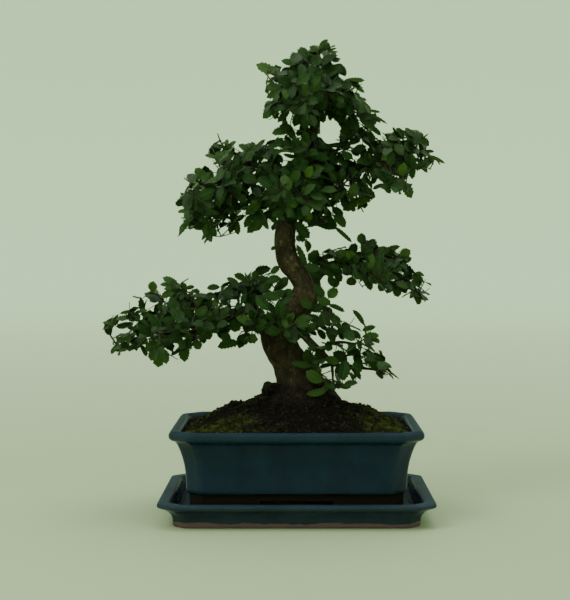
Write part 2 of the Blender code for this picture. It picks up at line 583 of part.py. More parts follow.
def fuse(base, pieces):
    """Join the objects of a collection to the base by one union, then remove them."""
    modifier = base.modifiers.new("union", "BOOLEAN")
    modifier.operation = "UNION"
    modifier.operand_type = "COLLECTION"
    modifier.collection = pieces
    graph = bpy.context.evaluated_depsgraph_get()
    joined = bpy.data.meshes.new_from_object(base.evaluated_get(graph))
    base.modifiers.clear()
    base.data = joined
    for piece in list(pieces.objects):
        bpy.data.objects.remove(piece)


def make_trunk(parts, pieces):
    """Trunk, root plug, burl and limbs, grown as one piece."""
    bark = material("bark", *BARK)
    trunk = mesh_object("trunk", *loft(trunk_rings(TRUNK)), parts, bark)
    for name, points in LIMBS.items():
        mesh_object(name, *loft(limb_rings(points)), pieces)
    bpy.ops.mesh.primitive_ico_sphere_add(subdivisions=1, radius=BURL_RADIUS, location=BURL_CENTRE)
    burl = bpy.context.object
    move_to(pieces, burl)
    fuse(trunk, pieces)


def place_along(points, share):
    """Position, direction and radius at a share of a limb's length."""
    centres = [Vector(point[:3]) for point in points]
    lengths = [(b - a).length for a, b in zip(centres, centres[1:])]
    wanted = share * sum(lengths)
    for i, length in enumerate(lengths):
        if wanted <= length or i == len(lengths) - 1:
            break
        wanted -= length
    part = min(wanted / lengths[i], 1.0)
    radius = points[i][3] * (1 - part) + points[i + 1][3] * part
    return centres[i].lerp(centres[i + 1], part), (centres[i + 1] - centres[i]).normalized(), radius


def arc(start, heading, tip):
    """A twig's centres: it sets off along the heading and bends to the tip."""
    reach = (tip - start).length
    turn = start + heading * reach * TWIG_BOW
    steps = 2 if reach < TWIG_LONG else 3
    points = []
    for step in range(steps + 1):
        t = step / steps
        points.append(start * (1 - t) ** 2 + turn * 2 * t * (1 - t) + tip * t ** 2)
    return points


def twig_points(path):
    """The twig's centres with its radius, thinner to the tip."""
    last = len(path) - 1
    return [(*point, TWIG_BASE + (TWIG_TIP - TWIG_BASE) * i / last) for i, point in enumerate(path)]


def twig_rings(path, clearance=0.0):
    """Sections of a twig."""
    points = twig_points(path)
    start = (path[1] - path[0]).orthogonal()
    return sections(points, TWIG_SIDES, lambda angle, point: 1.0, clearance, start)


def leaf_corners(leaf, grow=0.0):
    """Upper then lower corners of a leaf, anticlockwise from its base."""
    base, along, facing, length, width = leaf
    beside = facing.cross(along)
    outline = [(0.0, 0.0)]
    outline += [(a, -w) for a, w in LEAF_EDGE]
    outline.append((1.0, 0.0))
    outline += [(a, w) for a, w in reversed(LEAF_EDGE)]
    half = LEAF_THICKNESS / 2 + grow
    corners = []
    for lift in (half, -half):
        for a, w in outline:
            point = base + along * a * (length + 2 * grow) + beside * w * (width / 2 + grow)
            corners.append(point + facing * (abs(w) * width / 2 * LEAF_FOLD + lift))
    return corners


def leaf_faces():
    """Triangles of a leaf: both halves on each side of the rib, then the edge."""
    upper = [(0, 1, 4), (1, 3, 4), (1, 2, 3), (0, 4, 7), (4, 5, 7), (5, 6, 7)]
    faces = upper + [(a + 8, c + 8, b + 8) for a, b, c in upper]
    for i in range(8):
        j = (i + 1) % 8
        faces += [(i, i + 8, j + 8), (i, j + 8, j)]
    return faces


LEAF_FACES = leaf_faces()


def tree_of(vertices, faces):
    """Search tree of a shape."""
    return BVHTree.FromPolygons([tuple(v) for v in vertices], faces)


def blocked(shape, obstacles):
    """True if the shape crosses any obstacle."""
    return any(shape.overlap(other) for other in obstacles)


def wood_obstacles():
    """Search trees of the trunk and limbs, each fattened by the clearance."""
    trees = [tree_of(*loft(trunk_rings(TRUNK, TWIG_CLEARANCE)))]
    trees += [tree_of(*loft(limb_rings(points, GAP))) for points in LIMBS.values()]
    return trees


def touches_soil(points):
    """True if a point is in the soil, or in the pot below its rim."""
    for point in points:
        across = abs(point.x) < POT_HALF_WIDTH + POT_FLARE
        deep = abs(point.y) < POT_HALF_DEPTH + POT_FLARE
        if across and deep and point.z < soil_height(point.x, point.y) + SOIL_MARGIN:
            return True
    return False


def outside(points):
    """True if a point lies outside the foliage's outline, as seen from the front."""
    for point in points:
        share = EYE_DISTANCE / (EYE_DISTANCE + point.y)
        x = EYE_X + (point.x - EYE_X) * share
        z = EYE_HEIGHT + (point.z - EYE_HEIGHT) * share
        crossings = 0
        for i, (x1, z1) in enumerate(OUTLINE):
            x0, z0 = OUTLINE[i - 1]
            if (z0 > z) != (z1 > z) and x < x0 + (x1 - x0) * (z - z0) / (z1 - z0):
                crossings += 1
        if crossings % 2 == 0:
            return True
    return False


def jitter(rng, size):
    """Random step of up to a size along each axis."""
    return Vector((rng.uniform(-size, size), rng.uniform(-size, size), rng.uniform(-size, size)))


def short_of(start, tip):
    """End of a twig whose last leaf reaches the tip."""
    reach = (tip - start).length
    return start.lerp(tip, max(reach - LEAF_REACH, TWIG_SHORTEST) / reach)


def root_twig(rng, limb, share, tip, wood, others):
    """Path of a twig that starts just off its limb, moved until it crosses nothing."""
    points = TRUNK if limb == "trunk" else LIMBS[limb]
    centre, along, radius = place_along(points, share)
    at_end = share >= 1.0
    for attempt in range(TWIG_TRIES):
        goal = short_of(centre, tip) + jitter(rng, TWIG_STRAY * attempt)
        outward = (goal - centre).normalized()
        side = (outward - outward.project(along)).normalized()
        heading = along * TIP_LEAN + outward if at_end else side + outward * SIDE_LEAN
        heading.normalize()
        distance = GAP if at_end else radius * TWIG_SINK
        while distance < radius + TWIG_OUT:
            path = arc(centre + heading * distance, heading, goal)
            shape = tree_of(*loft(twig_rings(path)))
            if not blocked(shape, wood):
                break
            distance += TWIG_STEP
        else:
            continue
        wide = tree_of(*loft(twig_rings(path, TWIG_CLEARANCE)))
        if not blocked(wide, others):
            return path
    raise ValueError(f"no clear way for a twig on {limb}")


def forked_twig(rng, path, tip, wood, others):
    """Path of a twig that forks from inside another, or none if nothing is clear."""
    start, along, _radius = place_along(twig_points(path), TWIG_FORK)
    for attempt in range(TWIG_TRIES):
        goal = short_of(start, tip) + jitter(rng, TWIG_STRAY * attempt)
        heading = (along * FORK_LEAN + (goal - start).normalized()).normalized()
        fork = arc(start, heading, goal)
        wide = tree_of(*loft(twig_rings(fork, TWIG_CLEARANCE)))
        if not blocked(wide, wood) and not blocked(wide, others):
            return fork
    return None


def leaf_at(rng, place, along, side, last):
    """One leaf at random within its habit: out to a side, or on along the twig at its end."""
    outward = Vector((place.x, place.y, 0.0)).normalized()
    light = Vector((LIGHT_ACROSS * outward.x, LIGHT_DEEP * outward.y - LIGHT_FRONT, LIGHT_ABOVE))
    light = (light + jitter(rng, LIGHT_SCATTER)).normalized()
    beside = light.cross(along).normalized()
    heading = along.copy() if last else along * LEAF_FORWARD + beside * side
    heading = (heading + jitter(rng, LEAF_STRAY) - Vector((0.0, 0.0, LEAF_DROOP))).normalized()
    facing = (light - light.project(heading)).normalized()
    length = LEAF_LENGTH * (1 + rng.uniform(-LEAF_SPREAD, LEAF_SPREAD))
    return (place, heading, facing, length, length * LEAF_ASPECT * rng.uniform(*LEAF_WIDTHS))


def leaves_on(rng, path, blocks, own):
    """Alternate leaves along a twig, each tried until it crosses nothing."""
    points = twig_points(path)
    reach = sum((b - a).length for a, b in zip(path, path[1:]))
    count = min(max(round(reach / LEAF_PITCH), LEAF_MINIMUM), LEAF_MAXIMUM)
    side = rng.choice((-1, 1))
    leaves = []
    for k in range(count):
        last = k == count - 1
        share = LEAF_LAST if last else LEAF_FIRST + LEAF_NEXT * k / (count - 1)
        place, along, _radius = place_along(points, share)
        for attempt in range(LEAF_TRIES):
            leaf = leaf_at(rng, place, along, side, last)
            corners = leaf_corners(leaf, LEAF_CLEARANCE)
            shape = tree_of(corners, LEAF_FACES)
            if touches_soil(corners) or outside(corners):
                continue
            if blocked(shape, blocks) or blocked(shape, own):
                continue
            leaves.append(leaf)
            own.append(tree_of(leaf_corners(leaf), LEAF_FACES))
            break
        side = -side
    return leaves


def plan_sprays():
    """Twig paths and leaves of every spray, by name, each clear of the wood and of the others."""
    wood = wood_obstacles()
    twigs = {}
    shapes = {}
    for family, rows in SPRAYS.items():
        for number, (limb, share, tip, *forks) in enumerate(rows, 1):
            name = f"{family}_{number:02d}"
            rng = random.Random(f"{name} twigs {SPRAY_SEED}")
            others = [shape for group in shapes.values() for shape in group]
            path = root_twig(rng, limb, share, Vector(tip), wood, others)
            paths = [path]
            for fork in forks:
                paths.append(forked_twig(rng, path, Vector(fork), wood, others))
            twigs[name] = [path for path in paths if path]
            shapes[name] = [tree_of(*loft(twig_rings(path, GAP))) for path in twigs[name]]
    plans = {}
    for name, paths in twigs.items():
        others = [shape for other, group in shapes.items() if other != name for shape in group]
        rng = random.Random(f"{name} leaves {SPRAY_SEED}")
        own = []
        leaves = []
        for path in paths:
            leaves += leaves_on(rng, path, wood + others, own)
        plans[name] = (paths, leaves)
        shapes[name] += own
    return plans


def make_sprays(parts, pieces):
    """A node for each spray: its twigs and leaves fused into one body."""
    leaf_green = material("leaf", *LEAF_GREEN)
    for name, (paths, leaves) in plan_sprays().items():
        spray = mesh_object(name, *loft(twig_rings(paths[0])), parts, leaf_green)
        for path in paths[1:]:
            mesh_object("fork", *loft(twig_rings(path)), pieces)
        for leaf in leaves:
            mesh_object("leaf", leaf_corners(leaf), LEAF_FACES, pieces)
        fuse(spray, pieces)


def main():
    """Model the whole bonsai."""
    clear_scene()
    parts = new_collection(OBJECT_NAME)
    cutters = new_collection("cutters")
    pieces = new_collection("pieces to join")
    make_tray(parts)
    make_pot(parts, cutters)
    make_screens(parts)
    make_soil(parts, cutters)
    make_trunk(parts, pieces)
    make_sprays(parts, pieces)
    bpy.data.collections.remove(pieces)


if __name__ == "__main__":
    main()
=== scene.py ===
import math
import random

import bmesh
import bpy
from mathutils import Euler, Matrix, Vector, noise
from mathutils.bvhtree import BVHTree
from mathutils.kdtree import KDTree


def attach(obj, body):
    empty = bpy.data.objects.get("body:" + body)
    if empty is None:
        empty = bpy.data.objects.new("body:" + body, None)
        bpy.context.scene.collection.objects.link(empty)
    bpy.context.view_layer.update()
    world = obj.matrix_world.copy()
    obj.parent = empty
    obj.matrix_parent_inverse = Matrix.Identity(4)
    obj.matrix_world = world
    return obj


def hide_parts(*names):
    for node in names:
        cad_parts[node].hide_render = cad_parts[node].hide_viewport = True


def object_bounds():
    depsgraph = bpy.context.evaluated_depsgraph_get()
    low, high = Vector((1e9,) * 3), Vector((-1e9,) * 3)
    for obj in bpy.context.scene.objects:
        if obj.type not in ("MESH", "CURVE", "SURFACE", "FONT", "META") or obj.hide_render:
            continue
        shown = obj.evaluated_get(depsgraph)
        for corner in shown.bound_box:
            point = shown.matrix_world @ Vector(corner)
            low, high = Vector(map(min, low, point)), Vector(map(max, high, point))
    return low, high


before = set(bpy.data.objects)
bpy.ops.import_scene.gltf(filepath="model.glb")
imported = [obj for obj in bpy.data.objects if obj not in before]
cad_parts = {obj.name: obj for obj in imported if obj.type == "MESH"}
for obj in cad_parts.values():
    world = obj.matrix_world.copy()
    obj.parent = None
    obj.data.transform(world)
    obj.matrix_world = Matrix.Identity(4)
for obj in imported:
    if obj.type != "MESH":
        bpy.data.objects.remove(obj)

bl_info = {
    "name": "Chinese elm bonsai",
    "version": (1, 0, 0),
    "blender": (4, 5, 0),
    "location": "View3D > Sidebar > Bonsai",
    "description": "Dresses a chinese elm bonsai, its glazed pot and its drip tray",
    "category": "Object",
}


def metres(table):
    """The same table, or number, with millimetres turned to metres."""
    if isinstance(table, (int, float)):
        return round(table / 1000, 7)
    return tuple(metres(value) for value in table)


# Clearance between pieces that touch on the real thing
GAP = 0.0003

# Tray: half sizes of its foot, and the outline of its wall as (outward offset, height)
TRAY_HALF_WIDTH = 0.1258
TRAY_HALF_DEPTH = 0.0913
TRAY_CANT = 0.0125
TRAY_CANT_GROWTH = 0.26
TRAY_FLOOR = 0.010
TRAY_RIM = 0.025
TRAY_PROFILE = (
    (-0.0010, 0.0000), (0.0000, 0.0010), (0.0002, 0.0045), (0.0005, 0.0090), (0.0025, 0.0130),
    (0.0062, 0.0165), (0.0118, 0.0190), (0.0150, 0.0205), (0.0154, 0.0235), (0.0142, TRAY_RIM),
    (0.0042, TRAY_RIM), (0.0028, 0.0240), (0.0000, 0.0180), (-0.0020, 0.0130), (-0.0060, TRAY_FLOOR),
)

# Pot: half sizes of its glazed body at the bottom, then its outlines in the same form
POT_HALF_WIDTH = 0.1128
POT_HALF_DEPTH = 0.0818
POT_CANT = 0.0147
POT_CANT_GROWTH = 0.34
POT_RIM = 0.0965
POT_UNDERSIDE = 0.027
POT_FLOOR = 0.034
FOOT_BOTTOM = TRAY_FLOOR + GAP
FOOT_INSET = 0.0033
FOOT_WALL = 0.012
POT_FOOT_PROFILE = (
    (-FOOT_INSET - FOOT_WALL, POT_UNDERSIDE), (-FOOT_INSET - FOOT_WALL, FOOT_BOTTOM),
    (-FOOT_INSET - 0.0010, FOOT_BOTTOM), (-FOOT_INSET, FOOT_BOTTOM + 0.0012), (-FOOT_INSET, 0.0318),
)
POT_OUTER_PROFILE = (
    (-0.0010, 0.0320), (0.0000, 0.0340), (0.0002, 0.0460), (0.0013, 0.0580), (0.0038, 0.0690),
    (0.0070, 0.0785), (0.0102, 0.0850), (0.0140, 0.0862), (0.0166, 0.0885), (0.0172, 0.0918),
    (0.0164, 0.0950), (0.0140, POT_RIM), (0.0088, POT_RIM), (0.0058, 0.0948),
)
POT_INNER_PROFILE = (
    (0.0042, 0.0900), (0.0006, 0.0800), (-0.0042, 0.0680), (-0.0070, 0.0560), (-0.0080, 0.0440),
    (-0.0100, 0.0380), (-0.0135, POT_FLOOR),
)
FOOT_CUT_TOP = 0.0255
FOOT_CUT_HALF_TOP = 0.0365
FOOT_CUT_HALF_BOTTOM = 0.0405
FOOT_CUT_BELOW = 0.004
DRAIN_SPACING = 0.100
DRAIN_RADIUS = 0.007

# Soil: its edge against the pot, and the mound that it rises to round the trunk
SOIL_CLEARANCE = 0.0004
SOIL_EDGE = POT_INNER_PROFILE[0][1]
SOIL_SHOULDER = 0.0012
SOIL_RISE = 0.0305
SOIL_LEAN = 0.03
SOIL_FLAT = 0.38
SOIL_MARGIN = 0.003
POT_FLARE = 0.030

# Trunk: centre and radius (x, y, z, r) in millimetres up its length, from the root plug in the
# soil to the tip. Root waves are (lobes round the trunk, share, phase) and flute waves (lobes,
# share, turn a metre).
TRUNK = metres((
    (4, 0, 72, 30), (4, 0, 92, 36), (4, 0, 110, 40.5), (4, 0, 121, 40.5), (4, 0, 127, 35.5),
    (3, 0, 133, 29.5), (1, 0, 140, 24.5), (-4, 0, 152, 20), (-10, -1, 165, 17.4),
    (-17, -2, 177, 17.8), (-20, -3, 188, 18.8), (-17, -3, 199, 17.6), (-9, -1, 211, 16.2),
    (3, 1, 222, 15.4), (11, 3, 234, 14.8), (10, 3, 246, 14), (1, 2, 257, 12.6), (-8, 0, 268, 11.8),
    (-11.5, -2, 284, 11.2), (-11, -2, 300, 11), (-7, -1, 320, 10.2), (-1, 0, 340, 9.2),
    (5, 0, 361, 8), (12, 0, 383, 6.6), (18, 0, 403, 5.4), (22, 0, 424, 4.4), (20, 1, 447, 3.4),
    (17, 1, 470, 2.2),
))
TRUNK_SIDES = 12
ROOT_LOBES = 0.085
ROOT_LOBE_TOP = 0.165
ROOT_WAVES = ((5, 0.55, 0.6), (3, 0.30, 2.0), (7, 0.15, 1.1))
FLUTE_DEPTH = 0.035
FLUTE_WAVES = ((3, 1.0, 40.0), (2, 0.6, -65.0))
PLUG_TOP = 0.121

# Limbs: centre and radius (x, y, z, r) in millimetres, from inside the wood that each grows from
LIMB_SIDES = 6
SIDE_LIMB_SIDES = 4
SIDE_LIMB_RADIUS = 0.004
LIMB_LOBES = 0.06
LIMB_TWIST = 300.0
LIMBS = {name: metres(points) for name, points in {
    "lower_left": ((-16, -2, 189, 8.2), (-36, -3, 196, 6.6), (-60, -6, 205, 5.4),
        (-83, -8, 209, 4.7), (-107, -6, 206, 4), (-134, -4, 198, 3.2), (-160, -2, 189, 2.4),
        (-181, 0, 181, 1.7)),
    "lower_left_back": ((-60, -6, 205, 3.4), (-77, 18, 212, 2.8), (-103, 34, 217, 2.1),
        (-130, 42, 216, 1.4)),
    "lower_left_front": ((-83, -8, 209, 3.2), (-95, -28, 202, 2.6), (-114, -39, 193, 2),
        (-134, -44, 190, 1.4)),
    "lower_left_rise": ((-98, -7, 207, 2.8), (-111, 1, 223, 2.1), (-119, 4, 235, 1.4)),
    "lower_left_top": ((-49, -5, 201, 3), (-48, 10, 219, 2.2), (-53, 14, 234, 1.4)),
    "low_right": ((-6, -6, 204, 5.4), (4, -15, 194, 4.8), (14, -19, 183, 4.3), (25, -21, 173, 3.9),
        (38, -21, 161, 3), (53, -18, 156, 2.4), (68, -14, 155, 1.8), (81, -11, 153, 1.3)),
    "low_right_rise": ((25, -21, 173, 2.5), (35, -16, 180, 2.1), (48, -12, 182, 1.6),
        (60, -9, 180, 1.3)),
    "low_right_drop": ((37, -21, 162, 1.8), (38, -24, 149, 1.4), (38, -26, 140, 1.2)),
    "mid_right": ((11, 3, 243, 7.6), (29, 1, 258, 5.8), (46, -2, 265, 4.9), (63, -3, 265, 4.1),
        (81, -3, 260, 3.4), (100, -2, 254, 2.6), (118, 0, 246, 1.8)),
    "mid_right_back": ((56, -2, 265, 3), (72, 18, 270, 2.3), (88, 33, 268, 1.4)),
    "mid_right_front": ((46, -2, 264, 3), (60, -22, 260, 2.3), (76, -36, 254, 1.4)),
    "upper_left": ((-1, 0, 344, 6.6), (-13, -4, 356, 5.4), (-30, -8, 359, 4.9),
        (-47, -10, 352, 4.7), (-59, -10, 340, 4.5), (-70, -8, 325, 4.2), (-79, -5, 312, 3.4)),
    "upper_left_top": ((-30, -8, 359, 3.2), (-48, 6, 373, 2.6), (-66, 12, 382, 2),
        (-77, 13, 389, 1.4)),
    "upper_left_front": ((-47, -10, 352, 3.2), (-67, -25, 352, 2.6), (-88, -32, 350, 2),
        (-102, -34, 347, 1.4)),
    "upper_left_back": ((-59, -10, 340, 3.2), (-80, 14, 338, 2.6), (-100, 24, 333, 2),
        (-112, 28, 325, 1.4)),
    "upper_right": ((8, 0, 374, 5.6), (30, 4, 369, 4.6), (52, 6, 364, 4.1), (70, 6, 365, 4.3),
        (89, 4, 374, 3.1), (108, 2, 380, 2.4), (125, 0, 382, 1.8), (138, -2, 379, 1.3)),
    "upper_right_drop": ((54, 6, 364, 2.6), (59, -5, 347, 1.9), (64, -9, 333, 1.3)),
    "upper_right_front": ((85, 4, 372, 2.8), (99, -14, 364, 2.1), (110, -26, 354, 1.4)),
    "upper_right_back": ((70, 6, 365, 3), (85, 22, 379, 2.3), (103, 32, 388, 1.4)),
    "upper_right_top": ((30, 4, 369, 2.8), (42, 5, 383, 2.1), (50, 3, 394, 1.4)),
    "middle_front": ((-2, 0, 337, 3.8), (2, -20, 345, 2.7), (1, -37, 342, 1.6)),
    "middle_back": ((2, 0, 351, 3.6), (10, 20, 357, 2.6), (17, 37, 354, 1.6)),
    "crown_left": ((21, 0, 421, 3.4), (4, -3, 436, 2.6), (-10, -5, 446, 2), (-21, -5, 452, 1.4)),
    "crown_right": ((21, 0, 433, 3), (36, -1, 439, 2.2), (50, -2, 443, 1.4)),
    "crown_front": ((20, 0, 428, 3), (14, -18, 437, 2.2), (8, -34, 441, 1.4)),
    "crown_back": ((20, 0, 416, 3), (27, 18, 427, 2.2), (33, 35, 434, 1.4)),
}.items()}

# Sprays: limb, place along it from 0 to 1, point in millimetres that the main twig's last leaf
# reaches, then the points that its forks reach. A twig that crosses something is tried again,
# further off each time.
TWIG_SIDES = 3
TWIG_BASE = 0.0012
TWIG_TIP = 0.0009
TWIG_FORK = 0.45
TWIG_LONG = 0.042
TWIG_SHORTEST = 0.016
TWIG_BOW = 0.5
TWIG_TRIES = 40
TWIG_STRAY = 0.0004
TWIG_STEP = 0.00015
TWIG_OUT = 0.004
TWIG_SINK = 0.9
TIP_LEAN = 0.8
SIDE_LEAN = 0.5
FORK_LEAN = 0.4
SPRAYS = {
    "crown_spray": (
        ("trunk", 1, (31, 0, 502), (42, 14, 484), (0, 6, 492)),
        ("crown_left", 1, (-42, -4, 477), (-32, 12, 456)),
        ("crown_left", 0.7, (-28, -14, 428)),
        ("crown_left", 0.45, (-8, 16, 414), (-20, 32, 436)),
        ("crown_right", 1, (64, -4, 452), (62, -18, 438)),
        ("crown_right", 0.6, (78, 6, 424), (60, -10, 414)),
        ("crown_front", 1, (-6, -46, 450), (10, -50, 428)),
        ("crown_front", 0.55, (26, -36, 462), (40, -38, 442)),
        ("crown_back", 1, (46, 50, 448), (20, 50, 446)),
    ),
    "upper_left_spray": (
        ("upper_left_top", 1, (-82, 10, 400), (-94, 20, 386)),
        ("upper_left_top", 0.45, (-48, 20, 394), (-60, 36, 380), (-30, 10, 392)),
        ("upper_left_front", 1, (-116, -34, 354), (-110, -48, 336)),
        ("upper_left_front", 0.5, (-80, -46, 366), (-78, -50, 338)),
        ("upper_left_back", 1, (-120, 22, 308), (-108, 40, 304)),
        ("upper_left_back", 0.55, (-106, 32, 350)),
        ("upper_left", 1, (-94, -2, 294), (-78, -14, 292)),
        ("upper_left", 0.62, (-50, -16, 306), (-36, -24, 318)),
    ),
    "upper_right_spray": (
        ("upper_right", 1, (149, -6, 373), (138, -18, 358)),
        ("upper_right", 0.86, (134, 8, 398), (124, 22, 400)),
        ("upper_right", 0.74, (104, -8, 400), (116, -22, 392)),
        ("upper_right_front", 1, (116, -36, 342), (98, -40, 344)),
        ("upper_right_back", 1, (116, 42, 390), (98, 50, 374)),
        ("upper_right_top", 1, (56, 4, 404), (70, 2, 398)),
        ("upper_right_top", 0.5, (62, -18, 388)),
        ("upper_right_drop", 1, (70, -10, 320), (80, -16, 336)),
        ("upper_right_drop", 0.35, (40, -22, 326), (48, -32, 346)),
    ),
    "middle_spray": (
        ("middle_front", 1, (10, -52, 328), (-12, -52, 334)),
        ("middle_front", 0.55, (-18, -34, 360), (20, -36, 362)),
        ("middle_back", 1, (24, 54, 338), (4, 54, 352)),
        ("trunk", 0.6, (38, -12, 306)),
        ("trunk", 0.74, (2, -26, 392), (14, -34, 382)),
    ),
    "mid_right_spray": (
        ("mid_right", 1, (133, 0, 238), (130, 12, 228)),
        ("mid_right", 0.78, (118, -6, 272), (106, 10, 276)),
        ("mid_right", 0.52, (74, -10, 284), (90, -14, 280)),
        ("mid_right", 0.62, (92, -16, 242)),
        ("mid_right_front", 1, (86, -50, 244), (68, -46, 242)),
        ("mid_right_back", 1, (104, 44, 262), (82, 48, 280)),
        ("mid_right", 0.24, (26, -6, 282), (46, -10, 284)),
    ),
    "lower_left_spray": (
        ("lower_left", 1, (-190, 2, 174), (-208, -6, 202), (-202, 10, 190)),
        ("lower_left", 0.84, (-166, 6, 222), (-178, -4, 208)),
        ("lower_left", 0.78, (-148, -12, 176), (-160, 16, 172)),
        ("lower_left_front", 1, (-150, -52, 196), (-136, -56, 176)),
        ("lower_left_front", 0.5, (-112, -58, 208), (-98, -52, 184)),
        ("lower_left_back", 1, (-148, 46, 224), (-138, 56, 202)),
        ("lower_left_back", 0.5, (-96, 56, 204), (-76, 44, 226)),
        ("lower_left_rise", 1, (-134, 6, 242), (-116, 12, 248)),
        ("lower_left_top", 1, (-70, 14, 246), (-54, 34, 242), (-34, 10, 240)),
        ("lower_left", 0.42, (-86, -26, 188)),
        ("lower_left", 0.22, (-56, -22, 184), (-40, -32, 200)),
        ("trunk", 0.27, (-14, -40, 214), (4, -42, 208)),
    ),
    "low_right_spray": (
        ("low_right", 1, (109, -8, 143), (90, -18, 160)),
        ("low_right_rise", 1, (74, -4, 186), (66, -12, 168)),
        ("low_right_rise", 0.45, (54, -6, 202), (36, -20, 200)),
        ("low_right_drop", 1, (44, -34, 138), (26, -36, 144)),
    ),
}

# Outline of the foliage seen from the front, as (x, z) in millimetres on the plane through the
# trunk. The leaves stay within it. The eye stands at viewing distance, level with the lower limbs.
EYE_X = -0.0005
EYE_DISTANCE = 1.541
EYE_HEIGHT = 0.287
OUTLINE = metres((
    (34, 503), (49, 494), (53, 466), (75, 460), (77, 436), (94, 426), (99, 412), (89, 404),
    (106, 412), (123, 412), (142, 403), (146, 385), (160, 369), (142, 366), (139, 357), (127, 354),
    (125, 332), (110, 333), (93, 346), (87, 329), (70, 319), (57, 316), (64, 285), (46, 289),
    (25, 302), (17, 286), (46, 283), (64, 299), (80, 297), (95, 286), (125, 284), (126, 266),
    (147, 243), (145, 224), (129, 217), (119, 226), (80, 232), (49, 238), (47, 221), (61, 219),
    (80, 202), (92, 190), (95, 171), (112, 139), (74, 137), (57, 130), (10, 120), (2, 178),
    (-36, 178), (-62, 171), (-85, 171), (-91, 181), (-110, 171), (-113, 156), (-134, 158),
    (-140, 150), (-155, 152), (-159, 162), (-202, 166), (-195, 187), (-210, 192), (-210, 209),
    (-189, 217), (-178, 233), (-159, 247), (-146, 247), (-142, 255), (-117, 248), (-98, 240),
    (-79, 247), (-60, 259), (-43, 266), (-26, 293), (-55, 293), (-96, 279), (-106, 291),
    (-130, 291), (-132, 335), (-119, 346), (-119, 367), (-98, 369), (-99, 384), (-89, 395),
    (-68, 403), (-53, 395), (-32, 399), (-40, 416), (-36, 454), (-44, 479), (-15, 483), (-2, 496),
    (17, 500),
))

# Leaves: true size, one tooth a side; (along, across) as shares of length and of half width.
# They face the light, which comes from above, from the front and from outside the tree.
LEAF_LENGTH = 0.0220
LEAF_SPREAD = 0.16
LEAF_ASPECT = 0.56
LEAF_THICKNESS = 0.0007
LEAF_FOLD = 0.24
LEAF_EDGE = ((0.20, 0.78), (0.60, 1.00), (0.66, 0.77))
LEAF_PITCH = 0.0064
LEAF_MINIMUM = 2
LEAF_MAXIMUM = 4
LEAF_FIRST = 0.30
LEAF_NEXT = 0.62
LEAF_LAST = 0.98
LIGHT_ACROSS = 0.45
LIGHT_DEEP = 0.80
LIGHT_FRONT = 0.35
LIGHT_ABOVE = 0.70
LIGHT_SCATTER = 0.70
LEAF_FORWARD = 0.55
LEAF_STRAY = 0.25
LEAF_DROOP = 0.12
LEAF_WIDTHS = (0.9, 1.1)
LEAF_TRIES = 60
LEAF_CLEARANCE = 0.0004
LEAF_REACH = 0.0175
TWIG_CLEARANCE = 0.0005
SPRAY_SEED = 41


def loft(rings):
    """Vertices and faces of a closed skin through rings that all have the same number of points."""
    count = len(rings[0])
    vertices = [point for ring in rings for point in ring]
    faces = [tuple(reversed(range(count)))]
    for level in range(len(rings) - 1):
        low = level * count
        high = low + count
        for i in range(count):
            j = (i + 1) % count
            faces.append((low + i, low + j, high + j, high + i))
    last = (len(rings) - 1) * count
    faces.append(tuple(range(last, last + count)))
    return vertices, faces


def canted_ring(half_width, half_depth, cant, height):
    """Rectangle with canted corners, anticlockwise from above."""
    ring = []
    for side_x, side_y in ((1, -1), (1, 1), (-1, 1), (-1, -1)):
        on_long = Vector((side_x * (half_width - cant), side_y * half_depth, height))
        on_short = Vector((side_x * half_width, side_y * (half_depth - cant), height))
        ring += [on_long, on_short] if side_x * side_y < 0 else [on_short, on_long]
    return ring


def tray_ring(offset, height):
    """Section of the tray at an offset from its foot."""
    cant = TRAY_CANT + TRAY_CANT_GROWTH * offset
    return canted_ring(TRAY_HALF_WIDTH + offset, TRAY_HALF_DEPTH + offset, cant, height)


def pot_ring(offset, height):
    """Section of the pot at an offset from the bottom of its glazed body."""
    cant = POT_CANT + POT_CANT_GROWTH * offset
    return canted_ring(POT_HALF_WIDTH + offset, POT_HALF_DEPTH + offset, cant, height)


def soil_height(x, y):
    """Height of the soil's mound, without its roughness."""
    reach = math.hypot(x / POT_HALF_WIDTH, y / POT_HALF_DEPTH)
    share = min(max((1.0 - reach) / (1.0 - SOIL_FLAT), 0.0), 1.0)
    return SOIL_EDGE + SOIL_SHOULDER + (SOIL_RISE - SOIL_LEAN * x) * share


def sections(points, sides, shape, clearance, across):
    """Rings round a run of (x, y, z, r) points; shape(angle, point) is the share of the radius."""
    centres = [Vector(point[:3]) for point in points]
    rings = []
    for i, centre in enumerate(centres):
        before = centres[max(i - 1, 0)]
        after = centres[min(i + 1, len(centres) - 1)]
        along = (after - before).normalized()
        across = (across - across.project(along)).normalized()
        beside = along.cross(across)
        ring = []
        for step in range(sides):
            angle = math.tau * step / sides
            radius = points[i][3] * shape(angle, points[i]) + clearance
            ring.append(centre + radius * (math.cos(angle) * across + math.sin(angle) * beside))
        rings.append(ring)
    return rings


def trunk_shape(angle, point):
    """Root lobes that fade up the flare, then shallow flutes in the bark."""
    lobes = sum(share * math.sin(count * angle + phase) for count, share, phase in ROOT_WAVES)
    flute = sum(share * math.sin(count * angle + turn * point[2]) for count, share, turn in FLUTE_WAVES)
    fade = min(max((ROOT_LOBE_TOP - point[2]) / (ROOT_LOBE_TOP - PLUG_TOP), 0.0), 1.0)
    return 1.0 + ROOT_LOBES * fade * lobes + FLUTE_DEPTH * (1.0 - fade) * flute


def trunk_rings(points, sides=TRUNK_SIDES, clearance=0.0):
    """Sections of the trunk."""
    return sections(points, sides, trunk_shape, clearance, Vector((1.0, 0.0, 0.0)))


def limb_shape(angle, point):
    """Slightly knobbly sections, each unlike the next."""
    return 1.0 + LIMB_LOBES * math.sin(2 * angle + LIMB_TWIST * sum(point[:3]))


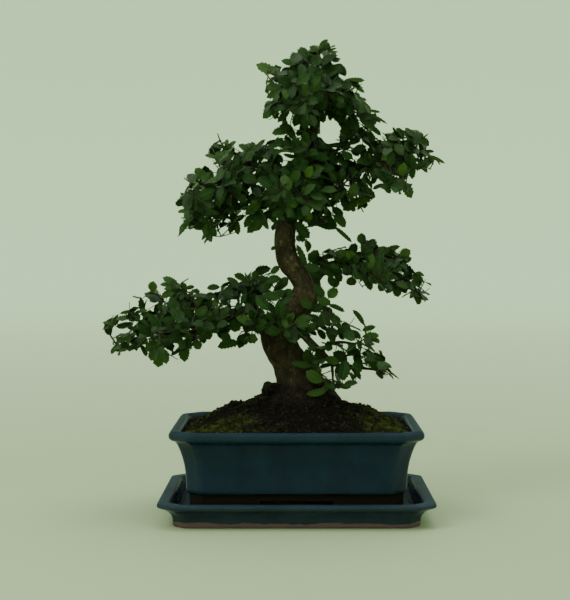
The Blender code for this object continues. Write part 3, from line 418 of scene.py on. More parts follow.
def first_across(points):
    """A direction square to the first step of a run."""
    return (Vector(points[1][:3]) - Vector(points[0][:3])).orthogonal()


def limb_rings(points, clearance=0.0):
    """Sections of a limb."""
    sides = LIMB_SIDES if points[0][3] > SIDE_LIMB_RADIUS else SIDE_LIMB_SIDES
    return sections(points, sides, limb_shape, clearance, first_across(points))


def round_shape(_angle, _point):
    """Plain round sections."""
    return 1.0


def place_along(points, share):
    """Position, direction and radius at a share of a limb's length."""
    centres = [Vector(point[:3]) for point in points]
    lengths = [(b - a).length for a, b in zip(centres, centres[1:])]
    wanted = share * sum(lengths)
    for i, length in enumerate(lengths):
        if wanted <= length or i == len(lengths) - 1:
            break
        wanted -= length
    part = min(wanted / lengths[i], 1.0)
    radius = points[i][3] * (1 - part) + points[i + 1][3] * part
    return centres[i].lerp(centres[i + 1], part), (centres[i + 1] - centres[i]).normalized(), radius


def bend(start, middle, end, steps):
    """Points along a curve that sets off towards the middle point and comes from it to the end."""
    shares = [step / steps for step in range(steps + 1)]
    return [start * (1 - t) ** 2 + middle * 2 * t * (1 - t) + end * t ** 2 for t in shares]


def arc(start, heading, tip):
    """A twig's centres: it sets off along the heading and bends to the tip."""
    reach = (tip - start).length
    return bend(start, start + heading * reach * TWIG_BOW, tip, 2 if reach < TWIG_LONG else 3)


def twig_points(path):
    """The twig's centres with its radius, thinner to the tip."""
    last = len(path) - 1
    return [(*point, TWIG_BASE + (TWIG_TIP - TWIG_BASE) * i / last) for i, point in enumerate(path)]


def twig_rings(path, clearance=0.0):
    """Sections of a twig."""
    return sections(twig_points(path), TWIG_SIDES, round_shape, clearance, first_across(path))


def leaf_corners(leaf, grow=0.0):
    """Upper then lower corners of a leaf, anticlockwise from its base."""
    base, along, facing, length, width = leaf
    beside = facing.cross(along)
    outline = [(0.0, 0.0)]
    outline += [(a, -w) for a, w in LEAF_EDGE]
    outline.append((1.0, 0.0))
    outline += [(a, w) for a, w in reversed(LEAF_EDGE)]
    half = LEAF_THICKNESS / 2 + grow
    corners = []
    for lift in (half, -half):
        for a, w in outline:
            point = base + along * a * (length + 2 * grow) + beside * w * (width / 2 + grow)
            corners.append(point + facing * (abs(w) * width / 2 * LEAF_FOLD + lift))
    return corners


def leaf_faces():
    """Triangles of a leaf: both halves on each side of the rib, then the edge."""
    upper = [(0, 1, 4), (1, 3, 4), (1, 2, 3), (0, 4, 7), (4, 5, 7), (5, 6, 7)]
    faces = upper + [(a + 8, c + 8, b + 8) for a, b, c in upper]
    for i in range(8):
        j = (i + 1) % 8
        faces += [(i, i + 8, j + 8), (i, j + 8, j)]
    return faces


LEAF_FACES = leaf_faces()


def tree_of(vertices, faces):
    """Search tree of a shape."""
    return BVHTree.FromPolygons([tuple(v) for v in vertices], faces)


def blocked(shape, obstacles):
    """True if the shape crosses any obstacle."""
    return any(shape.overlap(other) for other in obstacles)


def wood_obstacles():
    """Search trees of the trunk and limbs, each fattened by the clearance."""
    trees = [tree_of(*loft(trunk_rings(TRUNK, clearance=TWIG_CLEARANCE)))]
    trees += [tree_of(*loft(limb_rings(points, GAP))) for points in LIMBS.values()]
    return trees


def touches_soil(points):
    """True if a point is in the soil, or in the pot below its rim."""
    for point in points:
        across = abs(point.x) < POT_HALF_WIDTH + POT_FLARE
        deep = abs(point.y) < POT_HALF_DEPTH + POT_FLARE
        if across and deep and point.z < soil_height(point.x, point.y) + SOIL_MARGIN:
            return True
    return False


def seen_from_front(point):
    """Where a point shows in the plane of the trunk, for the camera in front."""
    share = EYE_DISTANCE / (EYE_DISTANCE + point.y)
    return EYE_X + (point.x - EYE_X) * share, EYE_HEIGHT + (point.z - EYE_HEIGHT) * share


def outside(points):
    """True if a point lies outside the foliage's outline, as seen from the front."""
    for point in points:
        x, z = seen_from_front(point)
        crossings = 0
        for i, (x1, z1) in enumerate(OUTLINE):
            x0, z0 = OUTLINE[i - 1]
            if (z0 > z) != (z1 > z) and x < x0 + (x1 - x0) * (z - z0) / (z1 - z0):
                crossings += 1
        if crossings % 2 == 0:
            return True
    return False


def jitter(rng, size):
    """Random step of up to a size along each axis."""
    return Vector([rng.uniform(-size, size) for _axis in range(3)])


def short_of(start, tip):
    """End of a twig whose last leaf reaches the tip."""
    reach = (tip - start).length
    return start.lerp(tip, max(reach - LEAF_REACH, TWIG_SHORTEST) / reach)


def root_twig(rng, limb, share, tip, wood, others):
    """Path of a twig that starts just off its limb, moved until it crosses nothing."""
    points = TRUNK if limb == "trunk" else LIMBS[limb]
    centre, along, radius = place_along(points, share)
    at_end = share >= 1.0
    for attempt in range(TWIG_TRIES):
        goal = short_of(centre, tip) + jitter(rng, TWIG_STRAY * attempt)
        outward = (goal - centre).normalized()
        side = (outward - outward.project(along)).normalized()
        heading = along * TIP_LEAN + outward if at_end else side + outward * SIDE_LEAN
        heading.normalize()
        distance = GAP if at_end else radius * TWIG_SINK
        while distance < radius + TWIG_OUT:
            path = arc(centre + heading * distance, heading, goal)
            shape = tree_of(*loft(twig_rings(path)))
            if not blocked(shape, wood):
                break
            distance += TWIG_STEP
        else:
            continue
        wide = tree_of(*loft(twig_rings(path, TWIG_CLEARANCE)))
        if not blocked(wide, others):
            return path
    raise ValueError(f"no clear way for a twig on {limb}")


def forked_twig(rng, path, tip, wood, others):
    """Path of a twig that forks from inside another, or none if nothing is clear."""
    start, along, _radius = place_along(twig_points(path), TWIG_FORK)
    for attempt in range(TWIG_TRIES):
        goal = short_of(start, tip) + jitter(rng, TWIG_STRAY * attempt)
        heading = (along * FORK_LEAN + (goal - start).normalized()).normalized()
        fork = arc(start, heading, goal)
        wide = tree_of(*loft(twig_rings(fork, TWIG_CLEARANCE)))
        if not blocked(wide, wood) and not blocked(wide, others):
            return fork
    return None


def leaf_at(rng, place, along, side, last):
    """One leaf at random within its habit: out to a side, or on along the twig at its end."""
    outward = Vector((place.x, place.y, 0.0)).normalized()
    light = Vector((LIGHT_ACROSS * outward.x, LIGHT_DEEP * outward.y - LIGHT_FRONT, LIGHT_ABOVE))
    light = (light + jitter(rng, LIGHT_SCATTER)).normalized()
    beside = light.cross(along).normalized()
    heading = along.copy() if last else along * LEAF_FORWARD + beside * side
    heading = (heading + jitter(rng, LEAF_STRAY) - Vector((0.0, 0.0, LEAF_DROOP))).normalized()
    facing = (light - light.project(heading)).normalized()
    length = LEAF_LENGTH * (1 + rng.uniform(-LEAF_SPREAD, LEAF_SPREAD))
    return (place, heading, facing, length, length * LEAF_ASPECT * rng.uniform(*LEAF_WIDTHS))


def leaves_on(rng, path, blocks, own):
    """Alternate leaves along a twig, each tried until it crosses nothing."""
    points = twig_points(path)
    reach = sum((b - a).length for a, b in zip(path, path[1:]))
    count = min(max(round(reach / LEAF_PITCH), LEAF_MINIMUM), LEAF_MAXIMUM)
    side = rng.choice((-1, 1))
    leaves = []
    for k in range(count):
        last = k == count - 1
        share = LEAF_LAST if last else LEAF_FIRST + LEAF_NEXT * k / (count - 1)
        place, along, _radius = place_along(points, share)
        for _attempt in range(LEAF_TRIES):
            leaf = leaf_at(rng, place, along, side, last)
            corners = leaf_corners(leaf, LEAF_CLEARANCE)
            shape = tree_of(corners, LEAF_FACES)
            if touches_soil(corners) or outside(corners):
                continue
            if blocked(shape, blocks) or blocked(shape, own):
                continue
            leaves.append(leaf)
            own.append(tree_of(leaf_corners(leaf), LEAF_FACES))
            break
        side = -side
    return leaves


def plan_sprays():
    """Twig paths and leaves of every spray, by name, each clear of the wood and of the others."""
    wood = wood_obstacles()
    twigs = {}
    shapes = {}
    for family, rows in SPRAYS.items():
        for number, (limb, share, tip, *forks) in enumerate(rows, 1):
            name = f"{family}_{number:02d}"
            rng = random.Random(f"{name} twigs {SPRAY_SEED}")
            others = [shape for group in shapes.values() for shape in group]
            path = root_twig(rng, limb, share, Vector(metres(tip)), wood, others)
            paths = [path]
            for fork in forks:
                paths.append(forked_twig(rng, path, Vector(metres(fork)), wood, others))
            twigs[name] = [path for path in paths if path]
            shapes[name] = [tree_of(*loft(twig_rings(path, GAP))) for path in twigs[name]]
    plans = {}
    for name, paths in twigs.items():
        others = [shape for other, group in shapes.items() if other != name for shape in group]
        rng = random.Random(f"{name} leaves {SPRAY_SEED}")
        own = []
        leaves = []
        for path in paths:
            leaves += leaves_on(rng, path, wood + others, own)
        plans[name] = (paths, leaves)
        shapes[name] += own
    return plans


# Finer sections of the pot and tray: rounding of their upright corners, and of their profiles
CORNER_ROUND = 0.0030
CORNER_STEPS = 4
CORNER_FADE = 0.0062
PROFILE_ROUNDS = 2

# Bark: size of the grid that merges the limbs, then the relief that is raised on it
BARK_GRID = 0.00110
TRUNK_FINE_SIDES = 40
LIMB_FINE_SIDES = 14
WOOD_STEP = 0.0025
KNOTS = ((0.024, -0.010, 0.160, 0.0060), (-0.015, -0.016, 0.193, 0.0042), (0.022, -0.006, 0.236, 0.0040),
         (-0.020, -0.010, 0.262, 0.0034), (0.076, 0.001, 0.366, 0.0040), (0.008, -0.018, 0.142, 0.0058))

# The burl at the foot of the trunk, and the lumps that tie it to the trunk
BURL_LUMPS = ((0.0080, (-0.0290, -0.0100, 0.1320)), (0.0078, (-0.0215, -0.0085, 0.1275)),
              (0.0040, (-0.0320, -0.0125, 0.1345)), (0.0040, (-0.0232, -0.0110, 0.1352)),
              (0.0060, (0.0370, -0.0120, 0.1210)), (0.0052, (-0.0225, -0.0180, 0.1225)),
              (0.0050, (0.0120, -0.0300, 0.1200)), (0.0060, (-0.0120, -0.0280, 0.1190)))

# Fine leaves: teeth a side, and the smaller leaves that fill each pad
LEAF_TEETH = 7
BLADE = 0.00030
FILL_PITCH = 0.0120
FILL_PITCHES = {"low_right_spray": 0.0140}
FILL_NEAR = 0.005
FILL_FAR = 0.025
FILL_TRIES = 4000
FILL_SIZES = (0.50, 0.90)
FILL_SEED = 11
BARE_TRUNK = ((0.140, 0.188), (0.214, 0.306))


# Leaves that stand out at the edge of the foliage, as seen from the front in the plane of the
# trunk: base x, base z, tip x, tip z and width in millimetres, then how fresh the leaf is,
# in percent
FRINGE = (
    (-17, 465, -42, 477, 12, 60), (24, 490, 34, 501, 6, 50), (10, 479, 5, 494, 10, 5),
    (26, 487, 14, 494, 6, 30), (2, 476, -16, 479, 8, 35), (32, 486, 45, 488, 3, 20),
    (31, 487, 43, 492, 3, 20), (40, 473, 50, 473, 5, 10), (42, 469, 51, 464, 5, 10),
    (51, 458, 73, 458, 6, 50), (59, 454, 73, 445, 5, 40), (57, 439, 75, 438, 7, 30),
    (71, 428, 90, 425, 4, 30), (75, 424, 97, 413, 3, 30), (66, 420, 84, 405, 7, 20),
    (64, 406, 46, 405, 13, 35), (64, 408, 74, 395, 11, 30), (-13, 447, -31, 454, 14, 30),
    (-15, 450, -32, 440, 8, 25), (-19, 433, -36, 418, 10, 35), (-6, 433, -20, 414, 8, 30),
    (-6, 405, -26, 403, 10, 35), (5, 428, -2, 409, 10, 20), (27, 426, 29, 413, 8, 15),
    (42, 426, 44, 414, 10, 15), (35, 431, 36, 415, 7, 15), (-78, 373, -89, 370, 3, 20),
    (-81, 375, -97, 381, 5, 45), (-73, 377, -65, 384, 5, 20), (-73, 380, -86, 382, 6, 20),
    (-75, 387, -89, 390, 5, 30), (-73, 386, -64, 395, 6, 40), (-74, 388, -73, 397, 5, 30),
    (-49, 382, -61, 391, 8, 25), (-44, 381, -47, 394, 8, 20), (-45, 386, -33, 397, 5, 30),
    (-97, 354, -116, 359, 4, 40), (-97, 354, -107, 366, 10, 50), (-99, 350, -113, 354, 3, 30),
    (-89, 348, -90, 364, 8, 20), (-99, 334, -114, 343, 8, 10), (-109, 335, -128, 332, 5, 10),
    (-114, 320, -126, 320, 6, 40), (-110, 314, -127, 294, 4, 25), (-106, 316, -123, 304, 3, 20),
    (-89, 309, -99, 295, 10, 30), (-66, 314, -61, 295, 8, 20), (-35, 333, -54, 316, 11, 40),
    (-36, 315, -53, 297, 10, 35), (-35, 313, -43, 299, 7, 30), (-19, 321, -36, 316, 8, 30),
    (-12, 394, -32, 387, 7, 10), (2, 377, -14, 381, 5, 10), (-1, 309, 15, 292, 12, 10),
    (-19, 282, -27, 280, 5, 10), (128, 398, 115, 409, 6, 30), (131, 394, 140, 402, 2, 20),
    (129, 398, 141, 389, 8, 20), (134, 382, 146, 383, 4, 15), (137, 379, 158, 370, 4, 40),
    (128, 373, 139, 361, 6, 35), (124, 371, 123, 354, 8, 30), (109, 352, 123, 334, 12, 30),
    (93, 352, 100, 338, 7, 15), (93, 349, 80, 344, 5, 10), (115, 367, 112, 352, 10, 10),
    (69, 339, 84, 335, 12, 30), (66, 350, 54, 333, 11, 30), (67, 334, 49, 321, 12, 30),
    (70, 331, 64, 321, 4, 30), (39, 316, 53, 303, 10, 25), (27, 315, 44, 304, 8, 30),
    (40, 304, 60, 287, 5, 20), (58, 393, 41, 396, 2, 10), (94, 397, 108, 405, 3, 10),
    (106, 400, 102, 409, 3, 10), (70, 285, 69, 297, 10, 10), (75, 287, 85, 290, 4, 10),
    (93, 276, 110, 284, 8, 60), (110, 271, 121, 279, 11, 75), (59, 272, 63, 287, 10, 10),
    (123, 234, 142, 227, 6, 20), (125, 234, 130, 221, 5, 15), (126, 255, 137, 252, 4, 10),
    (110, 243, 117, 233, 8, 10), (105, 241, 108, 229, 10, 30), (94, 247, 88, 235, 10, 30),
    (77, 251, 79, 236, 8, 30), (59, 251, 57, 241, 12, 20), (44, 249, 39, 239, 8, 20),
    (14, 266, 23, 279, 11, 15), (11, 259, 0, 285, 7, 10), (40, 272, 26, 272, 6, 10),
    (36, 221, 22, 230, 10, 30), (34, 228, 43, 239, 12, 50), (34, 221, 52, 214, 6, 20),
    (32, 213, 23, 202, 10, 15), (-194, 201, -208, 203, 5, 70), (-194, 199, -207, 195, 3, 30),
    (-196, 204, -189, 211, 3, 30), (-172, 214, -188, 212, 4, 30), (-189, 178, -198, 169, 6, 30),
    (-153, 235, -152, 246, 11, 50), (-125, 242, -142, 251, 8, 40), (-127, 239, -141, 238, 6, 35),
    (-163, 228, -175, 231, 2, 20), (-117, 234, -122, 245, 7, 20), (-117, 238, -108, 241, 5, 20),
    (-110, 236, -102, 235, 5, 20), (-127, 236, -144, 229, 8, 30), (-145, 176, -148, 154, 14, 30),
    (-118, 181, -120, 160, 13, 30), (-109, 183, -102, 174, 10, 25), (-146, 181, -161, 173, 11, 35),
    (-166, 179, -159, 166, 6, 30), (-178, 187, -192, 182, 8, 25), (-97, 196, -91, 184, 11, 25),
    (-176, 202, -192, 198, 7, 30), (-81, 240, -95, 239, 7, 15), (-62, 245, -74, 250, 6, 25),
    (-53, 246, -66, 254, 8, 20), (-42, 245, -44, 258, 8, 20), (-27, 254, -18, 262, 8, 50),
    (-25, 241, -34, 250, 10, 40), (-20, 236, -12, 250, 6, 20), (-14, 228, -6, 238, 10, 10),
    (-77, 194, -73, 178, 11, 20), (-60, 181, -85, 176, 10, 35), (-48, 189, -64, 185, 6, 15),
    (-64, 206, -66, 192, 15, 10), (8, 194, 25, 201, 10, 50), (-36, 199, -17, 191, 11, 20),
    (-16, 200, 0, 198, 8, 15), (-11, 219, 4, 213, 10, 15), (4, 226, 17, 217, 10, 15),
    (18, 156, 10, 174, 13, 10), (18, 156, -6, 160, 8, 20), (24, 154, 38, 158, 5, 10),
    (19, 152, 15, 139, 10, 20), (34, 132, 10, 126, 8, 30), (40, 136, 54, 135, 6, 30),
    (44, 154, 50, 141, 8, 30), (54, 160, 39, 171, 13, 25), (56, 158, 69, 141, 7, 30),
    (72, 199, 60, 216, 6, 15), (70, 194, 84, 198, 6, 25), (70, 187, 88, 189, 8, 50),
    (57, 194, 70, 186, 8, 20), (72, 179, 84, 180, 4, 10), (74, 166, 93, 161, 7, 20),
    (87, 160, 102, 154, 5, 30), (74, 164, 82, 156, 6, 30), (88, 158, 110, 141, 2, 40),
    (46, 199, 50, 183, 11, 15), (34, 213, 41, 206, 8, 15), (-30, 243, -40, 252, 9, 5),
    (-24, 236, -8, 246, 9, 10), (-30, 226, -12, 237, 10, 5), (-38, 222, -22, 216, 10, 10),
    (-36, 230, -18, 228, 10, 10), (-22, 221, -6, 229, 9, 10), (-40, 238, -26, 242, 9, 10),
    (-28, 216, -14, 208, 10, 15), (-12, 213, 0, 222, 8, 5), (8, 262, 26, 260, 10, 5),
    (26, 258, 42, 252, 10, 10), (34, 252, 41, 240, 9, 10), (14, 254, 28, 250, 9, 5),
    (16, 214, 31, 222, 10, 10), (26, 324, 38, 314, 8, 10), (18, 243, 30, 230, 9, 5),
    (22, 195, 31, 184, 8, 10), (40, 256, 49, 246, 10, 10), (12, 208, 26, 204, 10, 10),
    (20, 199, 34, 206, 9, 10), (-8, 408, -2, 396, 9, 5), (-12, 400, -4, 388, 8, 5),
    (44, 470, 38, 458, 9, 5), (36, 480, 46, 478, 7, 5), (48, 474, 52, 462, 7, 5),
    (10, 484, 20, 474, 9, 5), (16, 474, 26, 484, 9, 10), (26, 483, 20, 473, 8, 10),
    (30, 462, 44, 470, 10, 10), (36, 473, 49, 467, 9, 10), (34, 456, 48, 460, 9, 10),
    (44, 392, 58, 387, 10, 10), (56, 391, 68, 397, 9, 10), (60, 383, 74, 389, 9, 10),
    (48, 382, 60, 376, 9, 5), (-32, 244, -16, 250, 10, 10), (-20, 240, -8, 250, 8, 5),
    (38, 324, 50, 314, 9, 10), (34, 210, 48, 203, 9, 10), (-24, 380, -14, 372, 8, 10),
    (10, 196, 22, 189, 6, 10), (26, 219, 39, 214, 7, 10), (-44, 318, -55, 303, 8, 20),
    (24, 199, 34, 194, 6, 10), (76, 410, 90, 400, 6, 20),
)

# Clear places between the pads, as seen from the front: centre x and z, half width and half height
SKY_GAPS = (
    (37, 403, 11, 14), (-8, 377, 6, 7), (-6, 421, 6, 5), (8, 278, 3, 10), (-58, 307, 3, 8),
    (53, 348, 4, 6), (31, 239, 5, 6), (35, 195, 11, 3), (21, 185, 6, 6), (5, 178, 5, 11),
    (38, 150, 3, 6), (-68, 222, 4, 4), (-153, 221, 6, 3), (57, 206, 4, 8), (10, 302, 6, 6),
    (-134, 202, 4, 2), (88, 350, 5, 4), (-30, 304, 5, 3), (-161, 185, 5, 3), (-32, 264, 5, 9),
    (32, 153, 5, 8), (78, 148, 9, 8), (55, 146, 4, 9), (86, 174, 10, 3), (62, 201, 7, 4),
    (44, 174, 4, 3), (43, 186, 3, 4), (-80, 293, 11, 11), (-190, 194, 10, 4), (-88, 369, 7, 5),
    (-90, 386, 5, 2), (-30, 463, 6, 4), (-4, 486, 4, 4), (22, 305, 6, 5), (135, 240, 5, 5),
    (86, 343, 4, 3), (66, 243, 5, 4), (-57, 331, 4, 3), (-40, 324, 3, 3), (66, 447, 4, 3),
    (50, 390, 3, 4), (136, 366, 4, 3), (-67, 379, 3, 3), (-133, 172, 7, 11), (-86, 185, 4, 8),
    (-66, 184, 3, 3), (-155, 168, 4, 4), (-160, 233, 5, 3), (-111, 297, 9, 5), (-177, 168, 12, 4),
    (-196, 191, 8, 4), (70, 155, 4, 5), (66, 412, 4, 4), (70, 244, 3, 5), (-25, 414, 3, 4),
    (-144, 238, 3, 4), (-180, 218, 4, 3), (-172, 226, 4, 3), (-72, 300, 3, 5), (-73, 237, 4, 2),
    (72, 343, 3, 3), (83, 239, 3, 3),
)
FRINGE_SETBACKS = (0.0, -0.005, -0.010, -0.015, 0.005, -0.021, 0.010, -0.028, 0.016, -0.036)
FRINGE_CLEAR = 0.4
FILL_MARGIN = 0.0050
TRIM_MARGIN = 0.0030
CAD_BOX = [Vector(corner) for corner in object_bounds()]
BOX_MARGIN = 0.0004


def linked(name, mesh):
    """A new object in the scene's own collection."""
    made = bpy.data.objects.new(name, mesh)
    bpy.context.scene.collection.objects.link(made)
    return made


def meshed(name, vertices, faces):
    """A new object with a mesh of its own."""
    mesh = bpy.data.meshes.new(name)
    mesh.from_pydata([tuple(vertex) for vertex in vertices], [], faces)
    return linked(name, mesh)


def mark(mesh, name, values):
    """A value at each vertex, for the surfaces to use."""
    mesh.attributes.new(name, "FLOAT", "POINT").data.foreach_set("value", values)


def belongs(piece, finish, *nodes):
    """The piece rides on the part and stands for the CAD nodes; its finish is not used."""
    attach(piece, "root")
    if nodes:
        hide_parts(*nodes)
    return piece


def only(piece):
    """Make the piece the only one selected, and the active one."""
    bpy.ops.object.select_all(action="DESELECT")
    piece.select_set(True)
    bpy.context.view_layer.objects.active = piece


def finish_modifiers(piece):
    """Apply every modifier of the piece in turn."""
    only(piece)
    for modifier in list(piece.modifiers):
        bpy.ops.object.modifier_apply(modifier=modifier.name)


def smooth(piece, degrees):
    """Shade the piece smooth, but keep edges sharper than an angle."""
    only(piece)
    bpy.ops.object.shade_smooth_by_angle(angle=math.radians(degrees))


# How the glaze is drawn: the angle of an edge that it runs quite thin on and that gets a painted highlight,
# and the rolled rim
THIN_GLAZE_AND_HIGHLIGHT_ANGLE = 8.0
GLAZE_ANGLE = 50.0
RIM_ROLL_FROM = 0.0942
RIM_ROLL_MIDDLE = 0.0120
RIM_ROLL_HALF = 0.0060
RIM_ROLL_DROP = 0.0018

# Channel under the pot, as (half width, height) at its bottom and top
FOOT_CUT_LOW = (FOOT_CUT_HALF_BOTTOM, FOOT_BOTTOM - FOOT_CUT_BELOW)
FOOT_CUT_HIGH = (FOOT_CUT_HALF_TOP, FOOT_CUT_TOP)
FOOT_CUT_REACH = 2 * POT_HALF_DEPTH
FOOT_CUT_ROUND = 0.0020
SCREEN_BLACK = (0.020, 0.020, 0.020)

# Soil: its fine grid, and how far from the pot's wall it is calmer
SOIL_FINE_ROUND = 460
SOIL_FINE_RINGS = 84
SOIL_CALM = 0.012
SOIL_LIFT = 0.004

# Moss: patches as (x, y, half sizes, strength), and cushions as (x, y, half sizes, height)
MOSS_PATCHES = (
    (0.082, 0.012, 0.026, 0.022, 1.0), (-0.085, -0.055, 0.040, 0.024, 1.0),
    (-0.062, -0.068, 0.036, 0.012, 0.7), (0.088, -0.036, 0.030, 0.030, 1.0),
    (0.090, -0.062, 0.026, 0.012, 0.7), (0.100, 0.010, 0.018, 0.040, 0.9),
    (-0.100, 0.020, 0.018, 0.036, 0.8), (0.055, 0.060, 0.050, 0.016, 0.9),
    (-0.060, 0.056, 0.040, 0.018, 0.8), (-0.020, 0.070, 0.030, 0.010, 0.6),
)
MOSS_CUSHIONS = (
    (-0.082, 0.030, 0.034, 0.046, 0.0050), (0.084, 0.028, 0.030, 0.048, 0.0045),
    (-0.078, -0.045, 0.036, 0.034, 0.0020), (0.080, -0.045, 0.032, 0.034, 0.0018),
)

# What lies on the soil: how far past the pot's sides it is tried, how much of the corners and
# of the ground round the trunk stays clear, then the crumbs and the blades of moss
SCATTER_PAST = 0.002
SCATTER_CORNER = 1.82
SCATTER_MIDDLE = 0.004
SCATTER_BARE = 0.027
CRUMBS = 4200
CRUMB_SEED = 31
CRUMB_SMALLEST = 0.0012
CRUMB_SPREAD = 0.0046
CRUMB_LEAN = 0.6
MOSS_BLADES = 14000
MOSS_SEED = 53
MOSS_HEIGHTS = (0.0012, 0.0034)
MOSS_WIDTHS = (0.0005, 0.0009)
MOSS_FADE = 2.4
MOSS_LEAN = 0.55

# Bark: radius at which it is fully folded, height below which the foot is lumpy, and the radius
# at which the bark has its full colour
BARK_FULL_RADIUS = 0.016
FLARE_TOP = 0.146
FLARE_FADE = 0.02
GIRTH_FULL_RADIUS = 0.02

# Twigs as (radius at the base, radius at the tip, sides), and where small ones can grow from
SPRAY_TWIG = (0.00115, 0.00060, 6)
FILL_TWIG = (0.00070, 0.00035, 5)
FRINGE_TWIG = (0.00080, 0.00040, 5)
TWIG_SUNK = 0.0012
TWIG_FINE_STEP = 0.006
ANCHOR_STEP = 0.005
ANCHOR_RADIUS = 0.0052
TRUNK_IN_PAD = {"crown": (0.400, 0.480), "middle": (0.318, 0.410)}

# Leaves: the teeth as shares of the blade, and how leaves are placed
TOOTH_LEAN = 0.72
TOOTH_WIDTH = 1.12
NOTCH_WIDTH = 0.86
LEAF_ANGLE = 60.0
LEAF_CELL = 0.016
FILL_LEAF_TRIES = 7
TRIMS = (1.0, 0.88, 0.76, 0.64)
BARE_TRUNK_BACK = 0.012
BARE_TRUNK_MARGIN = 0.003


# ---- surfaces


def times(colour, share):
    """The colour, darker or brighter."""
    return tuple(c * share for c in colour)


class Nodes:
    """Short way to write a material's node tree."""

    def __init__(self, name, colour=(0.5, 0.5, 0.5), **sockets):
        self.material = bpy.data.materials.new(name)
        self.material.use_nodes = True
        self.tree = self.material.node_tree
        self.shader = self.tree.nodes["Principled BSDF"]
        self.shader.inputs["Base Color"].default_value = (*colour, 1.0)
        for socket, value in sockets.items():
            self.shader.inputs[socket.replace("_", " ")].default_value = value

    def add(self, kind, inputs=(), **settings):
        """A node with its settings and with the values or links of its inputs."""
        node = self.tree.nodes.new(kind)
        for key, value in settings.items():
            setattr(node, key, value)
        for socket, value in dict(inputs).items():
            if isinstance(value, bpy.types.NodeSocket):
                self.tree.links.new(value, node.inputs[socket])
            else:
                node.inputs[socket].default_value = value
        return node

    def place(self, scale=(1.0, 1.0, 1.0)):
        """Object coordinates, stretched."""
        coordinates = self.add("ShaderNodeTexCoord")
        mapping = self.add("ShaderNodeMapping", {"Vector": coordinates.outputs["Object"], "Scale": scale})
        return mapping.outputs["Vector"]

    def height(self):
        """Height above the surface that the part stands on."""
        return self.add("ShaderNodeSeparateXYZ", {"Vector": self.place()}).outputs["Z"]

    def noise(self, size, detail=4.0, roughness=0.55, where=None, distortion=0.0):
        """Noise whose lumps are about a size across, in metres."""
        vector = self.place() if where is None else where
        made = self.add("ShaderNodeTexNoise", {
            "Vector": vector, "Scale": 1.0 / size, "Detail": detail, "Roughness": roughness,
            "Distortion": distortion,
        })
        return made.outputs["Fac"]

    def attribute(self, name, output="Fac"):
        """An attribute of the mesh."""
        return self.add("ShaderNodeAttribute", attribute_name=name).outputs[output]

    def math(self, operation, a, b=0.0, clamp=False):
        """One sum on one or two values."""
        return self.add("ShaderNodeMath", {0: a, 1: b}, operation=operation, use_clamp=clamp).outputs[0]

    def ramp(self, value, *stops):
        """Colours or greys along a value: each stop is (position, grey or colour)."""
        node = self.add("ShaderNodeValToRGB", {"Fac": value})
        ramp = node.color_ramp
        while len(ramp.elements) < len(stops):
            ramp.elements.new(0.5)
        for element, (position, shade) in zip(ramp.elements, stops):
            element.position = position
            colour = (shade,) * 3 if isinstance(shade, float) else shade
            element.color = (*colour, 1.0)
        return node.outputs["Color"]

    def mix(self, factor, a, b, blend="MIX"):
        """Two colours mixed."""
        node = self.add("ShaderNodeMix", data_type="RGBA", blend_type=blend)
        for socket, value in ((node.inputs[0], factor), (node.inputs[6], a), (node.inputs[7], b)):
            if isinstance(value, bpy.types.NodeSocket):
                self.tree.links.new(value, socket)
            elif isinstance(value, float):
                socket.default_value = value
            else:
                socket.default_value = (*value, 1.0)
        return node.outputs[2]

    def bump(self, height, distance, strength=1.0, below=None):
        """Raise the surface by a height map, on top of another bump."""
        node = self.add("ShaderNodeBump", {"Height": height, "Distance": distance, "Strength": strength})
        if below is not None:
            self.tree.links.new(below, node.inputs["Normal"])
        return node.outputs["Normal"]

    def use(self, **sockets):
        """Link outputs to the shader's sockets."""
        for socket, value in sockets.items():
            self.tree.links.new(value, self.shader.inputs[socket.replace("_", " ")])
        return self.material


